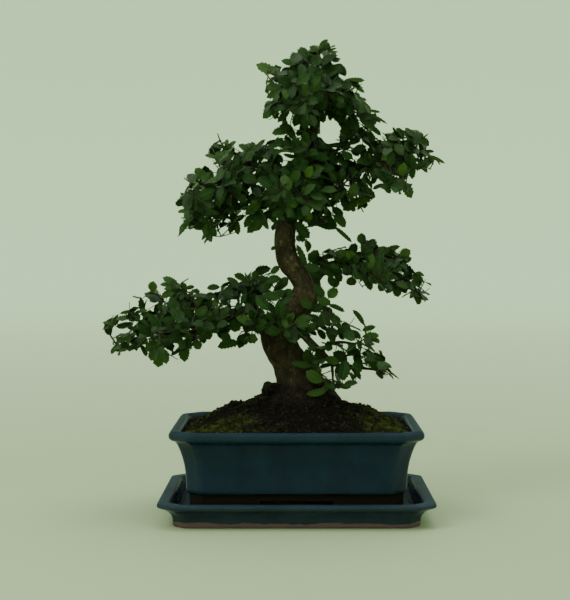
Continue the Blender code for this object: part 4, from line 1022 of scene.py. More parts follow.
def glaze_surface(name, deep, pale, line, clay):
    """Glossy dark glaze, thin and paler on edges where a highlight is also painted, over bare clay below a
    wavy line.
    """
    n = Nodes(name, IOR=1.24, Specular_IOR_Level=0.5)
    edge = n.attribute("edge")
    cloud = n.noise(0.030, 4.0)
    fine = n.noise(0.0035, 4.0)
    drips = n.noise(0.012, 3.0, 0.5, n.place((1.0, 1.0, 0.22)))
    base = n.mix(n.ramp(cloud, (0.35, 0.0), (0.70, 1.0)), times(deep, 0.80), times(deep, 1.22))
    base = n.mix(n.math("MULTIPLY", n.ramp(drips, (0.45, 0.0), (0.75, 1.0)), 0.13), base, pale)
    specks = n.ramp(n.noise(0.0013, 2.0), (0.70, 0.0), (0.77, 1.0))
    base = n.mix(n.math("MULTIPLY", specks, 0.16), base, pale)
    # Paler on convex edges: partly thin glaze, partly a painted highlight along the canted corners and the
    # rim
    thin_edge_and_highlight = n.math("MULTIPLY", edge, n.ramp(fine, (0.30, 0.10), (0.65, 0.50)), clamp=True)
    base = n.mix(thin_edge_and_highlight, base, pale)
    height = n.height()
    wave = n.math("MULTIPLY", n.math("SUBTRACT", n.noise(0.026, 3.0), 0.5), 0.0062)
    above = n.math("SUBTRACT", n.math("ADD", height, wave), line)
    bare = n.ramp(n.math("MULTIPLY", above, 2500.0), (0.0, 1.0), (1.0, 0.0))
    thin = n.ramp(n.math("MULTIPLY", above, 500.0), (0.0, 1.0), (1.0, 0.0))
    base = n.mix(n.math("MULTIPLY", thin, 0.55), base, pale)
    grit = n.noise(0.0012, 5.0, 0.7)
    raw = n.mix(n.ramp(grit, (0.30, 0.0), (0.75, 1.0)), times(clay, 0.55), clay)
    gloss = n.ramp(n.noise(0.010, 3.0), (0.3, 0.14), (0.8, 0.27))
    upward = n.add("ShaderNodeSeparateXYZ", {"Vector": n.add("ShaderNodeNewGeometry").outputs["Normal"]})
    gloss = n.mix(n.ramp(upward.outputs["Z"], (0.35, 0.0), (0.90, 1.0)), gloss, (0.62,) * 3)
    rough = n.mix(bare, gloss, (0.85,) * 3)
    shine = n.mix(n.ramp(upward.outputs["Z"], (0.10, 0.0), (0.70, 1.0)), (0.50,) * 3, (0.24,) * 3)
    orange = n.bump(n.noise(0.0050, 2.0), 0.00022, 0.5)
    relief = n.bump(n.math("MULTIPLY", grit, bare), 0.0004, 0.8, below=orange)
    return n.use(Base_Color=n.mix(bare, base, raw), Roughness=rough, Specular_IOR_Level=shine,
                 Normal=relief)


def bark_surface(name, young, old, crack):
    """Grey-brown bark, scaly on the trunk, darker in its cracks and near the soil."""
    n = Nodes(name, Specular_IOR_Level=0.10)
    girth = n.attribute("girth")
    stretched = n.place((1.0, 1.0, 0.42))
    patches = n.noise(0.016, 5.0, 0.62, stretched)
    fine = n.noise(0.0026, 6.0, 0.70, stretched, 0.4)
    colour = n.mix(n.ramp(patches, (0.38, 0.0), (0.62, 1.0)), times(old, 0.30), times(old, 1.15))
    colour = n.mix(n.ramp(girth, (0.10, 0.0), (0.45, 1.0)), young, colour)
    colour = n.mix(n.ramp(fine, (0.36, 0.70), (0.60, 0.0)), colour, crack)
    scales = n.add("ShaderNodeTexVoronoi", {"Vector": stretched, "Scale": 190.0},
                   feature="DISTANCE_TO_EDGE")
    seam = n.ramp(scales.outputs["Distance"], (0.0, 1.0), (0.09, 0.0))
    seam = n.math("MULTIPLY", seam, n.ramp(girth, (0.30, 0.0), (0.75, 0.35)), clamp=True)
    colour = n.mix(seam, colour, crack)
    lichen = n.ramp(n.noise(0.007, 3.0), (0.60, 0.0), (0.70, 0.75))
    colour = n.mix(lichen, colour, times(old, 1.7))
    height = n.height()
    damp = n.math("ADD", n.math("MULTIPLY", n.math("SUBTRACT", height, 0.126), 26.0),
                  n.math("MULTIPLY", n.math("SUBTRACT", n.noise(0.009, 4.0), 0.5), 1.4))
    damp = n.ramp(damp, (0.10, 0.95), (0.95, 0.0))
    crumbs = n.ramp(n.noise(0.0016, 3.0), (0.50, 0.0), (0.72, 1.0))
    colour = n.mix(damp, colour, n.mix(crumbs, times(crack, 0.35), times(old, 0.42)))
    relief = n.bump(fine, 0.0012, 0.9)
    relief = n.bump(n.math("SUBTRACT", 1.0, seam), 0.0006, 0.8, below=relief)
    rough = n.ramp(fine, (0.3, 0.72), (0.7, 0.95))
    return n.use(Base_Color=colour, Roughness=rough, Normal=relief)


def twig_surface(name, brown, green):
    """Young twig: red-brown, greener to the tip, with small pale pores."""
    n = Nodes(name, Roughness=0.7)
    tone = n.ramp(n.noise(0.006, 3.0), (0.3, 0.0), (0.7, 1.0))
    pores = n.ramp(n.noise(0.0009, 2.0), (0.64, 0.0), (0.70, 0.6))
    colour = n.mix(pores, n.mix(tone, brown, green), times(brown, 2.5))
    return n.use(Base_Color=colour, Normal=n.bump(n.noise(0.0010, 3.0), 0.0002, 0.7))


def leaf_surface(name, dark, fresh, under):
    """Leaf: dark green above, paler below, with a pale rib and side veins."""
    n = Nodes(name, Specular_IOR_Level=0.16)
    tone = n.add("ShaderNodeSeparateColor", {"Color": n.attribute("leaf", "Color")})
    uv = n.add("ShaderNodeUVMap", uv_map="UVMap").outputs["UV"]
    parts = n.add("ShaderNodeSeparateXYZ", {"Vector": uv})
    along = parts.outputs["X"]
    across = n.math("ABSOLUTE", n.math("SUBTRACT", parts.outputs["Y"], 0.5))
    rib = n.ramp(across, (0.010, 1.0), (0.045, 0.0))
    slanted = n.math("SUBTRACT", n.math("MULTIPLY", along, 10.0), n.math("MULTIPLY", across, 7.0))
    stripe = n.math("ABSOLUTE", n.math("SUBTRACT", n.math("FRACT", slanted), 0.5))
    vein = n.ramp(stripe, (0.0, 0.75), (0.13, 0.0))
    veins = n.math("MAXIMUM", rib, vein)
    mottle = n.noise(0.006, 3.0)
    green = n.mix(n.ramp(mottle, (0.30, 0.0), (0.75, 1.0)), times(dark, 0.72), dark)
    green = n.mix(tone.outputs["Red"], green, times(dark, 1.55))
    green = n.mix(tone.outputs["Green"], green, fresh)
    green = n.mix(tone.outputs["Blue"], green, under)
    green = n.mix(n.math("MULTIPLY", veins, 0.38), green, times(fresh, 1.25))
    relief = n.bump(n.math("SUBTRACT", 1.0, veins), 0.00035, 0.8)
    relief = n.bump(n.noise(0.0016, 2.0), 0.00012, 0.5, below=relief)
    rough = n.ramp(mottle, (0.3, 0.42), (0.8, 0.58))
    return n.use(Base_Color=green, Roughness=rough, Normal=relief)


def soil_surface(name, wet, dry, green):
    """Dark crumbly earth, with a green film where moss starts."""
    n = Nodes(name, Specular_IOR_Level=0.08)
    crumbs = n.noise(0.0022, 6.0, 0.72)
    colour = n.mix(n.ramp(crumbs, (0.38, 0.0), (0.72, 1.0)), wet, dry)
    bits = n.ramp(n.noise(0.0011, 2.0), (0.66, 0.0), (0.72, 0.8))
    colour = n.mix(bits, colour, times(dry, 2.5))
    film = n.math("MULTIPLY", n.attribute("moss"), n.ramp(n.noise(0.003, 4.0), (0.35, 0.2), (0.6, 1.0)),
                  clamp=True)
    colour = n.mix(film, colour, green)
    return n.use(Base_Color=colour, Roughness=n.ramp(crumbs, (0.3, 0.75), (0.7, 0.98)),
                 Normal=n.bump(crumbs, 0.0012, 1.0))


def moss_surface(name, old, fresh):
    """Moss: olive, with yellow-green tips."""
    n = Nodes(name, Roughness=0.9, Specular_IOR_Level=0.2)
    tone = n.ramp(n.noise(0.011, 4.0, 0.65), (0.42, 0.0), (0.68, 1.0))
    colour = n.mix(tone, old, fresh)
    colour = n.mix(n.ramp(n.noise(0.0012, 2.0), (0.4, 0.5), (0.7, 0.0)), colour, times(old, 0.5))
    return n.use(Base_Color=colour, Normal=n.bump(n.noise(0.0010, 3.0), 0.0005, 0.8))


def crumb_surface(name, dark, light):
    """Grit, bark chips and clay crumbs in the soil."""
    n = Nodes(name, Roughness=0.9, Specular_IOR_Level=0.1)
    tone = n.ramp(n.noise(0.0045, 2.0), (0.38, 0.0), (0.68, 1.0))
    return n.use(Base_Color=n.mix(tone, dark, light), Normal=n.bump(n.noise(0.0008, 3.0), 0.0003, 0.8))


def mesh_surface(name, colour):
    """Matt black plastic with a faint moulded grain."""
    n = Nodes(name, Roughness=0.55)
    tone = n.ramp(n.noise(0.004, 3.0), (0.3, 0.0), (0.7, 1.0))
    return n.use(Base_Color=n.mix(tone, colour, times(colour, 1.6)),
                 Normal=n.bump(n.noise(0.0006, 2.0), 0.0001, 0.4))


def floor_surface(name, colour, wall):
    """Plain pale floor that pales further where it rises."""
    n = Nodes(name, Roughness=0.7, Specular_IOR_Level=0.15)
    away = n.add("ShaderNodeVectorMath", {0: n.place((1.0, 1.0, 0.0))}, operation="LENGTH").outputs["Value"]
    rise = n.ramp(n.math("MULTIPLY", away, 0.2), (0.10, 0.0), (0.78, 1.0))
    return n.use(Base_Color=n.mix(rise, colour, wall))


# ---- pot and tray


def rounded(corners):
    """The ring with rounded corners, and a point a little way off on each side of them."""
    points = []
    for i, corner in enumerate(corners):
        back = (corners[i - 1] - corner).normalized()
        on = (corners[(i + 1) % len(corners)] - corner).normalized()
        points.append(corner + back * CORNER_FADE)
        points += bend(corner + back * CORNER_ROUND, corner, corner + on * CORNER_ROUND, CORNER_STEPS)
        points.append(corner + on * CORNER_FADE)
    return points


def rounded_profile(profile):
    """The profile with its corners cut back evenly, and its two ends kept."""
    for _ in range(PROFILE_ROUNDS):
        cut_back = [profile[0]]
        for (a, b), (c, d) in zip(profile, profile[1:]):
            for share in (0.75, 0.25):
                cut_back.append((a * share + c * (1 - share), b * share + d * (1 - share)))
        profile = cut_back + [profile[-1]]
    return profile


def drawn_up(name, rings):
    """Closed shell: a face of the first ring's outline, extruded through the others in turn."""
    bpy.ops.mesh.primitive_circle_add(vertices=len(rings[0]), radius=0.1, fill_type="NGON")
    piece = bpy.context.object
    piece.name = name
    bpy.ops.object.mode_set(mode="EDIT")
    mesh = bmesh.from_edit_mesh(piece.data)
    place = mesh.verts.layers.int.new("place")
    for vertex in mesh.verts:
        vertex[place] = vertex.index
        vertex.co = rings[0][vertex.index]
    bmesh.update_edit_mesh(piece.data)
    for ring in rings[1:]:
        bpy.ops.mesh.extrude_region_move()
        mesh = bmesh.from_edit_mesh(piece.data)
        place = mesh.verts.layers.int["place"]
        for vertex in mesh.verts:
            if vertex.select:
                vertex.co = ring[vertex[place]]
        bmesh.update_edit_mesh(piece.data)
    bpy.ops.mesh.select_all(action="SELECT")
    bpy.ops.mesh.normals_make_consistent(inside=False)
    bpy.ops.object.mode_set(mode="OBJECT")
    return piece


def glazed(piece, surface, finish, node):
    """The shaped piece with its edges marked, 1 where glaze runs thin and a highlight is painted, and its
    glaze on.
    """
    mesh = bmesh.new()
    mesh.from_mesh(piece.data)
    edge = []
    for vertex in mesh.verts:
        bends = [e.calc_face_angle_signed(0.0) for e in vertex.link_edges]
        edge.append(min(max(math.degrees(max(bends)) / THIN_GLAZE_AND_HIGHLIGHT_ANGLE, 0.0), 1.0))
    mesh.free()
    mark(piece.data, "edge", edge)
    smooth(piece, GLAZE_ANGLE)
    piece.data.materials.append(surface)
    return belongs(piece, finish, node)


def make_tray_piece():
    """Drip tray with rounded edges and a wavy glaze line above its bare foot."""
    tray = drawn_up("glazed_tray", [rounded(tray_ring(*level)) for level in rounded_profile(TRAY_PROFILE)])
    look = bpy.context.scene.bonsai_pot
    surface = glaze_surface("tray glaze", look.tray_glaze, look.thin_glaze_and_edge_highlight, look.tray_glaze_line, look.clay)
    return glazed(tray, surface, "tray_glaze", "tray")


def foot_channel():
    """Cutter for the gap that runs under the pot from front to back."""
    bpy.ops.mesh.primitive_cube_add(size=1.0)
    channel = bpy.context.object
    for vertex in channel.data.vertices:
        x, y, z = vertex.co
        width, height = FOOT_CUT_LOW if z < 0 else FOOT_CUT_HIGH
        vertex.co = (math.copysign(width, x), math.copysign(FOOT_CUT_REACH, y), height)
    rounding = channel.modifiers.new("rounding", "BEVEL")
    rounding.width = FOOT_CUT_ROUND
    rounding.segments = 4
    finish_modifiers(channel)
    return channel


def make_pot_piece():
    """Pot with a rolled rim and a foot ring that is cut away front and back."""
    rings = []
    for offset, height in rounded_profile(POT_FOOT_PROFILE + POT_OUTER_PROFILE + POT_INNER_PROFILE):
        if height > RIM_ROLL_FROM:
            height -= RIM_ROLL_DROP * ((offset - RIM_ROLL_MIDDLE) / RIM_ROLL_HALF) ** 2
        rings.append(rounded(pot_ring(offset, height)))
    pot = drawn_up("glazed_pot", rings)
    cutters = [foot_channel()]
    for side in (-1, 1):
        bpy.ops.mesh.primitive_cylinder_add(vertices=32, radius=DRAIN_RADIUS, depth=0.03,
                                            location=(side * DRAIN_SPACING / 2, 0.0, POT_FLOOR))
        cutters.append(bpy.context.object)
    for cutter in cutters:
        cut = pot.modifiers.new("cut", "BOOLEAN")
        cut.operation = "DIFFERENCE"
        cut.object = cutter
    finish_modifiers(pot)
    for cutter in cutters:
        bpy.data.objects.remove(cutter)
    look = bpy.context.scene.bonsai_pot
    surface = glaze_surface("pot glaze", look.pot_glaze, look.thin_glaze_and_edge_highlight, look.pot_glaze_line,
                            look.foot_clay)
    return glazed(pot, surface, "pot_glaze", "pot")


def dress_screens():
    """Plastic mesh over the drain holes: the CAD nodes with their own finish."""
    plastic = mesh_surface("screen plastic", SCREEN_BLACK)
    for name in ("drain_screen_left", "drain_screen_right"):
        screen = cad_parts[name]
        screen.data.materials.clear()
        screen.data.materials.append(plastic)


# ---- soil and moss


def ground(x, y, lumps, layer):
    """Noise over the soil, with so many lumps a metre."""
    return noise.noise((x * lumps, y * lumps, layer))


def moss_share(x, y):
    """How mossy the soil is at a place, from 0 to 1."""
    wobble = 0.55 * ground(x, y, 70, 3.1) + 0.35 * ground(x, y, 210, 8.2)
    best = 0.0
    for px, py, rx, ry, strength in MOSS_PATCHES:
        away = math.hypot((x - px) / rx, (y - py) / ry)
        best = max(best, strength * min(max(1.35 - away + wobble, 0.0), 1.0))
    return best


def soil_surface_height(x, y):
    """Height of the crumbly surface of the soil, smoother where it meets the pot."""
    height = soil_height(x, y)
    inside = min((POT_HALF_WIDTH - abs(x)) / SOIL_CALM, (POT_HALF_DEPTH - abs(y)) / SOIL_CALM, 1.0)
    rough = 0.35 + 0.65 * max(inside, 0.0)
    lumps = 0.0022 * ground(x, y, 60, 1.7) + 0.0021 * ground(x, y, 150, 4.4)
    crumbs = ground(x, y, 380, 6.0) + 0.6 * ground(x, y, 760, 2.0)
    for mx, my, rx, ry, lift in MOSS_CUSHIONS:
        height += lift * max(1.0 - math.hypot((x - mx) / rx, (y - my) / ry) ** 2, 0.0)
    return height + rough * (lumps + 0.0012 * crumbs)


def evenly(ring, count):
    """Points spaced evenly round a ring."""
    sides = [(ring[i], ring[(i + 1) % len(ring)]) for i in range(len(ring))]
    lengths = [(b - a).length for a, b in sides]
    total = sum(lengths)
    points = []
    walked = 0.0
    side = 0
    for k in range(count):
        wanted = total * k / count
        while walked + lengths[side] < wanted:
            walked += lengths[side]
            side += 1
        a, b = sides[side]
        points.append(a.lerp(b, (wanted - walked) / lengths[side]))
    return points


def make_soil_piece():
    """The soil's body with a crumbly mound."""
    rings = []
    for offset, height in reversed(POT_INNER_PROFILE):
        lift = SOIL_LIFT if height == POT_FLOOR else 0.0
        rings.append(evenly(pot_ring(offset - SOIL_CLEARANCE, height + lift), SOIL_FINE_ROUND))
    edge = rings[-1]
    for level in range(1, SOIL_FINE_RINGS):
        share = 1.0 - level / SOIL_FINE_RINGS
        spots = [(point.x * share, point.y * share) for point in edge]
        rings.append([Vector((x, y, soil_surface_height(x, y))) for x, y in spots])
    vertices, faces = loft(rings)
    soil = meshed("crumbly_soil", vertices, faces)
    mark(soil.data, "moss", [moss_share(v.x, v.y) for v in vertices])
    soil.data.shade_smooth()
    look = bpy.context.scene.bonsai_pot
    soil.data.materials.append(soil_surface("soil", look.wet_soil, look.dry_soil, look.moss))
    return belongs(soil, "soil", "soil")


def on_soil(rng):
    """A random place on the soil, clear of the trunk and of the pot's canted corners."""
    while True:
        x = rng.uniform(-1, 1) * (POT_HALF_WIDTH + SCATTER_PAST)
        y = rng.uniform(-1, 1) * (POT_HALF_DEPTH + SCATTER_PAST)
        in_corner = abs(x) / POT_HALF_WIDTH + abs(y) / POT_HALF_DEPTH > SCATTER_CORNER
        if not in_corner and math.hypot(x - SCATTER_MIDDLE, y) > SCATTER_BARE:
            return x, y


def scattered(name, model, placements, surface, finish):
    """One piece that holds a copy of a small model at each placement; the model goes."""
    corners = [vertex.co.copy() for vertex in model.data.vertices]
    sides = [tuple(polygon.vertices) for polygon in model.data.polygons]
    vertices = []
    faces = []
    for matrix in placements:
        faces += [tuple(i + len(vertices) for i in side) for side in sides]
        vertices += [matrix @ corner for corner in corners]
    bpy.data.objects.remove(model)
    piece = meshed(name, vertices, faces)
    piece.data.materials.append(surface)
    return belongs(piece, finish)


def turned(x, y, z, size, rng, lean):
    """Placement with a random heading and a lean of up to an angle."""
    turn = Euler((rng.uniform(-lean, lean), rng.uniform(-lean, lean), rng.uniform(0, math.tau)))
    return Matrix.LocRotScale(Vector((x, y, z)), turn, size)


def make_crumbs():
    """Crumbs and chips that lie half sunk in the soil."""
    rng = random.Random(CRUMB_SEED)
    bpy.ops.mesh.primitive_ico_sphere_add(subdivisions=1, radius=0.5)
    model = bpy.context.object
    for vertex in model.data.vertices:
        vertex.co *= rng.uniform(0.72, 1.15)
    placements = []
    for _ in range(CRUMBS):
        x, y = on_soil(rng)
        size = CRUMB_SMALLEST + CRUMB_SPREAD * rng.random() ** 4
        flat = Vector((size * rng.uniform(0.8, 1.5), size, size * rng.uniform(0.45, 0.9)))
        placements.append(turned(x, y, soil_surface_height(x, y) + size * 0.1, flat, rng, CRUMB_LEAN))
    look = bpy.context.scene.bonsai_pot
    surface = crumb_surface("crumbs", look.wet_soil, look.crumbs)
    return scattered("soil_crumbs", model, placements, surface, "soil")


def make_moss():
    """Moss: short pointed blades, thick on the patches."""
    rng = random.Random(MOSS_SEED)
    bpy.ops.mesh.primitive_cone_add(vertices=3, radius1=0.5, radius2=0.0, depth=1.0,
                                    location=(0.0, 0.0, 0.4))
    model = bpy.context.object
    only(model)
    bpy.ops.object.transform_apply(location=True, rotation=True, scale=True)
    placements = []
    while len(placements) < MOSS_BLADES:
        x, y = on_soil(rng)
        share = moss_share(x, y)
        if rng.random() > share ** MOSS_FADE:
            continue
        tall = rng.uniform(*MOSS_HEIGHTS) * (0.5 + 0.5 * share)
        wide = rng.uniform(*MOSS_WIDTHS)
        size = Vector((wide, wide, tall))
        placements.append(turned(x, y, soil_surface_height(x, y), size, rng, MOSS_LEAN))
    look = bpy.context.scene.bonsai_pot
    surface = moss_surface("moss", look.moss, look.fresh_moss)
    return scattered("moss_tufts", model, placements, surface, "foliage")


# ---- trunk and limbs


def fine_run(points, step=WOOD_STEP):
    """A smooth run through (x, y, z, r) points, sampled about every step."""
    made = []
    for i in range(len(points) - 1):
        p0 = points[max(i - 1, 0)]
        p1, p2 = points[i], points[i + 1]
        p3 = points[min(i + 2, len(points) - 1)]
        count = max(round(math.dist(p1[:3], p2[:3]) / step), 1)
        for k in range(count):
            t = k / count
            made.append(tuple(
                0.5 * (2 * b + (c - a) * t + (2 * a - 5 * b + 4 * c - d) * t * t
                       + (3 * b - a - 3 * c + d) * t ** 3)
                for a, b, c, d in zip(p0, p1, p2, p3)))
    made.append(points[-1])
    return made


def wood_axis():
    """Search tree over the wood's centre lines, with the radius at each point."""
    points = [point for run in (TRUNK, *LIMBS.values()) for point in fine_run(run)]
    tree = KDTree(len(points))
    for i, point in enumerate(points):
        tree.insert(point[:3], i)
    tree.balance()
    return tree, [point[3] for point in points]


def grain(place, across, up):
    """Noise in the wood, with so many lumps a metre across it and up it."""
    return noise.noise((place.x * across, place.y * across, place.z * up))


def bark_relief(place, radius):
    """How far the bark stands out at a place: folds on the trunk, knobs on the limbs."""
    thick = min(radius / BARK_FULL_RADIUS, 1.0)
    folds = noise.fractal((place.x * 95, place.y * 95, place.z * 26), 0.9, 2.0, 4)
    scales = grain(place, 330, 150) + 0.5 * grain(place, 760, 420)
    knobs = grain(place, 140, 140)
    lift = 0.00105 * thick * folds + 0.00038 * thick * scales + 0.00050 * math.sqrt(thick) * knobs
    low = min(max((FLARE_TOP - place.z) / FLARE_FADE, 0.0), 1.0)
    lift += low * (0.0022 * grain(place, 75, 75) + 0.0010 * grain(place, 260, 260))
    for *centre, size in KNOTS:
        away = math.dist(place, centre) / size
        if away < 1.6:
            lift += 0.0016 * math.exp(-2.5 * (away - 0.75) ** 2) - 0.0012 * math.exp(-9 * away * away)
    return lift


def make_wood():
    """Trunk, burl, root flare and limbs merged into one skin, then given its bark."""
    vertices, faces = loft(trunk_rings(fine_run(TRUNK), TRUNK_FINE_SIDES))
    for points in LIMBS.values():
        rings = sections(fine_run(points), LIMB_FINE_SIDES, limb_shape, 0.0, first_across(points))
        more, sides = loft(rings)
        faces += [tuple(i + len(vertices) for i in side) for side in sides]
        vertices += more
    wood = meshed("bark_trunk", vertices, faces)
    lumps = []
    for radius, place in BURL_LUMPS:
        bpy.ops.mesh.primitive_ico_sphere_add(subdivisions=4, radius=radius, location=place)
        lump = bpy.context.object
        for vertex in lump.data.vertices:
            spot = vertex.co + lump.location
            vertex.co *= 1.0 + 0.30 * noise.noise(spot * 190) + 0.12 * noise.noise(spot * 520)
        lumps.append(lump)
    only(wood)
    for lump in lumps:
        lump.select_set(True)
    bpy.ops.object.join()
    wood.data.remesh_voxel_size = BARK_GRID
    wood.data.use_remesh_fix_poles = False
    bpy.ops.object.voxel_remesh()
    soften = wood.modifiers.new("soften", "SMOOTH")
    soften.factor = 0.5
    soften.iterations = 3
    finish_modifiers(wood)
    tree, radii = wood_axis()
    girth = []
    normals = [vertex.normal.copy() for vertex in wood.data.vertices]
    for vertex, normal in zip(wood.data.vertices, normals):
        radius = radii[tree.find(vertex.co)[1]]
        girth.append(min(radius / GIRTH_FULL_RADIUS, 1.0))
        vertex.co += normal * bark_relief(vertex.co, radius)
    mark(wood.data, "girth", girth)
    wood.data.shade_smooth()
    look = bpy.context.scene.bonsai_tree
    wood.data.materials.clear()
    wood.data.materials.append(bark_surface("bark", look.young_bark, look.old_bark, look.bark_cracks))
    return belongs(wood, "bark", "trunk")


# ---- twigs and leaves


def blade_width(t):
    """Half width of a leaf's blade along its length, as a share: a short stalk, then an ellipse."""
    if t < 0.05:
        return 0.06
    s = (t - 0.05) / 0.95
    return 1.02 * (4 * s * (1 - s)) ** 0.55 * (1.0 + 0.10 * (0.5 - s))


def kept_in_box(points):
    """The points moved together so that none leaves the CAD model's box."""
    shift = Vector()
    for axis in range(3):
        low = CAD_BOX[0][axis] + BOX_MARGIN - min(point[axis] for point in points)
        high = CAD_BOX[1][axis] - BOX_MARGIN - max(point[axis] for point in points)
        shift[axis] = max(low, 0.0) + min(high, 0.0)
    return [point + shift for point in points]


class Foliage:
    """Vertices, faces and per-corner data of a piece of twigs and leaves."""

    def __init__(self):
        self.vertices = []
        self.faces = []
        self.surfaces = []
        self.uvs = []
        self.tones = []

    def add(self, face, surface, uvs, tone):
        """One face with its surface, its place on the leaf and its tone."""
        self.faces.append(face)
        self.surfaces.append(surface)
        self.uvs += uvs
        self.tones += [tone] * len(face)

    def twig(self, path, thick, thin, sides):
        """A round twig along a path, sunk a little into what it grows from."""
        root = path[0] - (path[1] - path[0]).normalized() * TWIG_SUNK
        run = [(*root, thick)]
        run += [(*p, thick + (thin - thick) * i / (len(path) - 1)) for i, p in enumerate(path)]
        run = fine_run(run, TWIG_FINE_STEP)
        vertices, faces = loft(sections(run, sides, round_shape, 0.0, first_across(path)))
        start = len(self.vertices)
        self.vertices += kept_in_box(vertices)
        for face in faces:
            self.add(tuple(i + start for i in face), 1, [(0.5, 0.5)] * len(face), (0.0, 0.0, 0.0, 1.0))

    def leaf(self, leaf, rng, fresh):
        """A toothed, folded and curved leaf where the plain one is."""
        base, along, facing, length, width = leaf
        beside = facing.cross(along)
        droop = rng.uniform(0.02, 0.20)
        sway = rng.uniform(-0.06, 0.06)
        lean = rng.uniform(0.90, 1.0)
        wave = rng.uniform(-0.5, 0.5)
        start = len(self.vertices)
        places = []

        def put(t, s, lift):
            share = blade_width(t)
            shift = beside * (sway * length * math.sin(math.pi * t) + s * share * width / 2)
            fold = abs(s) * share * width / 2 * LEAF_FOLD
            ripple = 0.05 * width * s * math.sin(9.0 * t + wave * 6.0)
            rise = fold - droop * length * t * t + ripple + lift
            self.vertices.append(base + along * t * length + shift + facing * rise)
            places.append((t, 0.5 + 0.5 * s))
            return len(self.vertices) - 1

        stations = [k / LEAF_TEETH for k in range(LEAF_TEETH + 1)]
        stem = put(0.0, 0.0, 0.0)
        tip = put(1.0, 0.0, 0.0)
        upper = [stem] + [put(t, 0.0, BLADE) for t in stations[1:-1]] + [tip]
        lower = [stem] + [put(t, 0.0, -BLADE) for t in stations[1:-1]] + [tip]
        for side, size in ((-1, lean), (1, 1.0)):
            edge = [stem]
            for notch in stations[:-1]:
                if notch:
                    edge.append(put(notch, side * size * NOTCH_WIDTH, 0.0))
                if notch < stations[-2]:
                    edge.append(put(notch + TOOTH_LEAN / LEAF_TEETH, side * size * TOOTH_WIDTH, 0.0))
            edge += [tip, tip]
            for rib, under, forward in ((upper, 0.0, side < 0), (lower, 0.85, side > 0)):
                self.blade(rib, edge, start, places, (leaf_tone(rng), fresh, under, 1.0), forward)
        self.vertices[start:] = kept_in_box(self.vertices[start:])

    def blade(self, rib, edge, start, places, tone, forward):
        """Triangles between the rib and one toothed edge, of which the flat ones are left out."""
        for k in range(len(rib) - 1):
            a, b = rib[k:k + 2]
            low, mid, high = edge[2 * k:2 * k + 3]
            for triangle in ((a, low, mid), (a, mid, b), (b, mid, high)):
                if len(set(triangle)) == 3:
                    triangle = triangle if forward else triangle[::-1]
                    self.add(triangle, 0, [places[i - start] for i in triangle], tone)

    def build(self, name, surfaces):
        """The finished mesh object."""
        piece = meshed(name, self.vertices, self.faces)
        mesh = piece.data
        for surface in surfaces:
            mesh.materials.append(surface)
        mesh.polygons.foreach_set("material_index", self.surfaces)
        uv = mesh.uv_layers.new(name="UVMap")
        uv.data.foreach_set("uv", [value for pair in self.uvs for value in pair])
        tone = mesh.attributes.new("leaf", "FLOAT_COLOR", "CORNER")
        tone.data.foreach_set("color", [value for four in self.tones for value in four])
        mesh.update()
        smooth(piece, LEAF_ANGLE)
        return piece


class Nearby:
    """Things kept by place, to find those within a cell of a point."""

    def __init__(self, size):
        self.size = size
        self.cells = {}

    def cell(self, point):
        """Cell of the grid that a point lies in."""
        return tuple(math.floor(c / self.size) for c in point)

    def add(self, point, thing):
        """Keep a thing at a point."""
        self.cells.setdefault(self.cell(point), []).append(thing)

    def around(self, point):
        """Things in the point's cell and in those beside it."""
        x, y, z = self.cell(point)
        steps = [(i, j, k) for i in (-1, 0, 1) for j in (-1, 0, 1) for k in (-1, 0, 1)]
        return [thing for i, j, k in steps for thing in self.cells.get((x + i, y + j, z + k), ())]


def leaf_tone(rng):
    """Random brightness of a leaf, mostly low."""
    return rng.random() ** 2


def middle_of(leaf):
    """Middle of a leaf."""
    base, along, _facing, length, _width = leaf
    return base + along * length * 0.5


def set_back(x, z, y):
    """The point at a depth that shows at a place in the plane of the trunk."""
    share = (EYE_DISTANCE + y) / EYE_DISTANCE
    return Vector((EYE_X + (x - EYE_X) * share, y, EYE_HEIGHT + (z - EYE_HEIGHT) * share))


def in_gap(points):
    """True if a point shows in one of the clear places between the pads."""
    for point in points:
        x, z = seen_from_front(point)
        for gx, gz, rx, rz in SKY_GAPS:
            if math.hypot((x * 1000 - gx) / rx, (z * 1000 - gz) / rz) < 1.0:
                return True
    return False


def cells_by_fringe():
    """Millimetre cells beside the outer part of each fringe leaf, as seen from the front."""
    cells = set()
    for x0, z0, x1, z1, width, _fresh in FRINGE:
        reach = width / 2 + FRINGE_CLEAR
        steps = range(-math.ceil(reach), math.ceil(reach) + 1)
        disc = [(i, j) for i in steps for j in steps if math.hypot(i, j) <= reach]
        for step in range(5):
            share = 0.6 + 0.1 * step
            x, z = round(x0 + (x1 - x0) * share), round(z0 + (z1 - z0) * share)
            cells |= {(x + i, z + j) for i, j in disc}
    return cells


# Worked out once, since every small leaf is held against it
BY_FRINGE = cells_by_fringe()


def by_fringe(points):
    """True if a point shows beside the outer part of a fringe leaf."""
    spots = [seen_from_front(point) for point in points]
    return any((round(x * 1000), round(z * 1000)) in BY_FRINGE for x, z in spots)


def near_edge(points, margin):
    """True if a point lies by the edge of the foliage, as seen from the front."""
    moves = [Vector(move) * margin for move in ((1, 0, 0), (-1, 0, 0), (0, 0, 1), (0, 0, -1))]
    return any(outside([point] + [point + move for move in moves]) for point in points)


def in_front_of_trunk(points):
    """True if a leaf would hide a length of trunk that shows bare."""
    for low, high in BARE_TRUNK:
        for point in points:
            if not low < point.z < high or point.y > BARE_TRUNK_BACK:
                continue
            wood = min(TRUNK, key=lambda p: abs(p[2] - point.z))
            if abs(point.x - wood[0]) < wood[3] + BARE_TRUNK_MARGIN:
                return True
    return False


def barred(points, margin):
    """True if small leaves have no business there: by the edge, in the soil or over bare trunk."""
    return near_edge(points, margin) or touches_soil(points) or in_front_of_trunk(points)


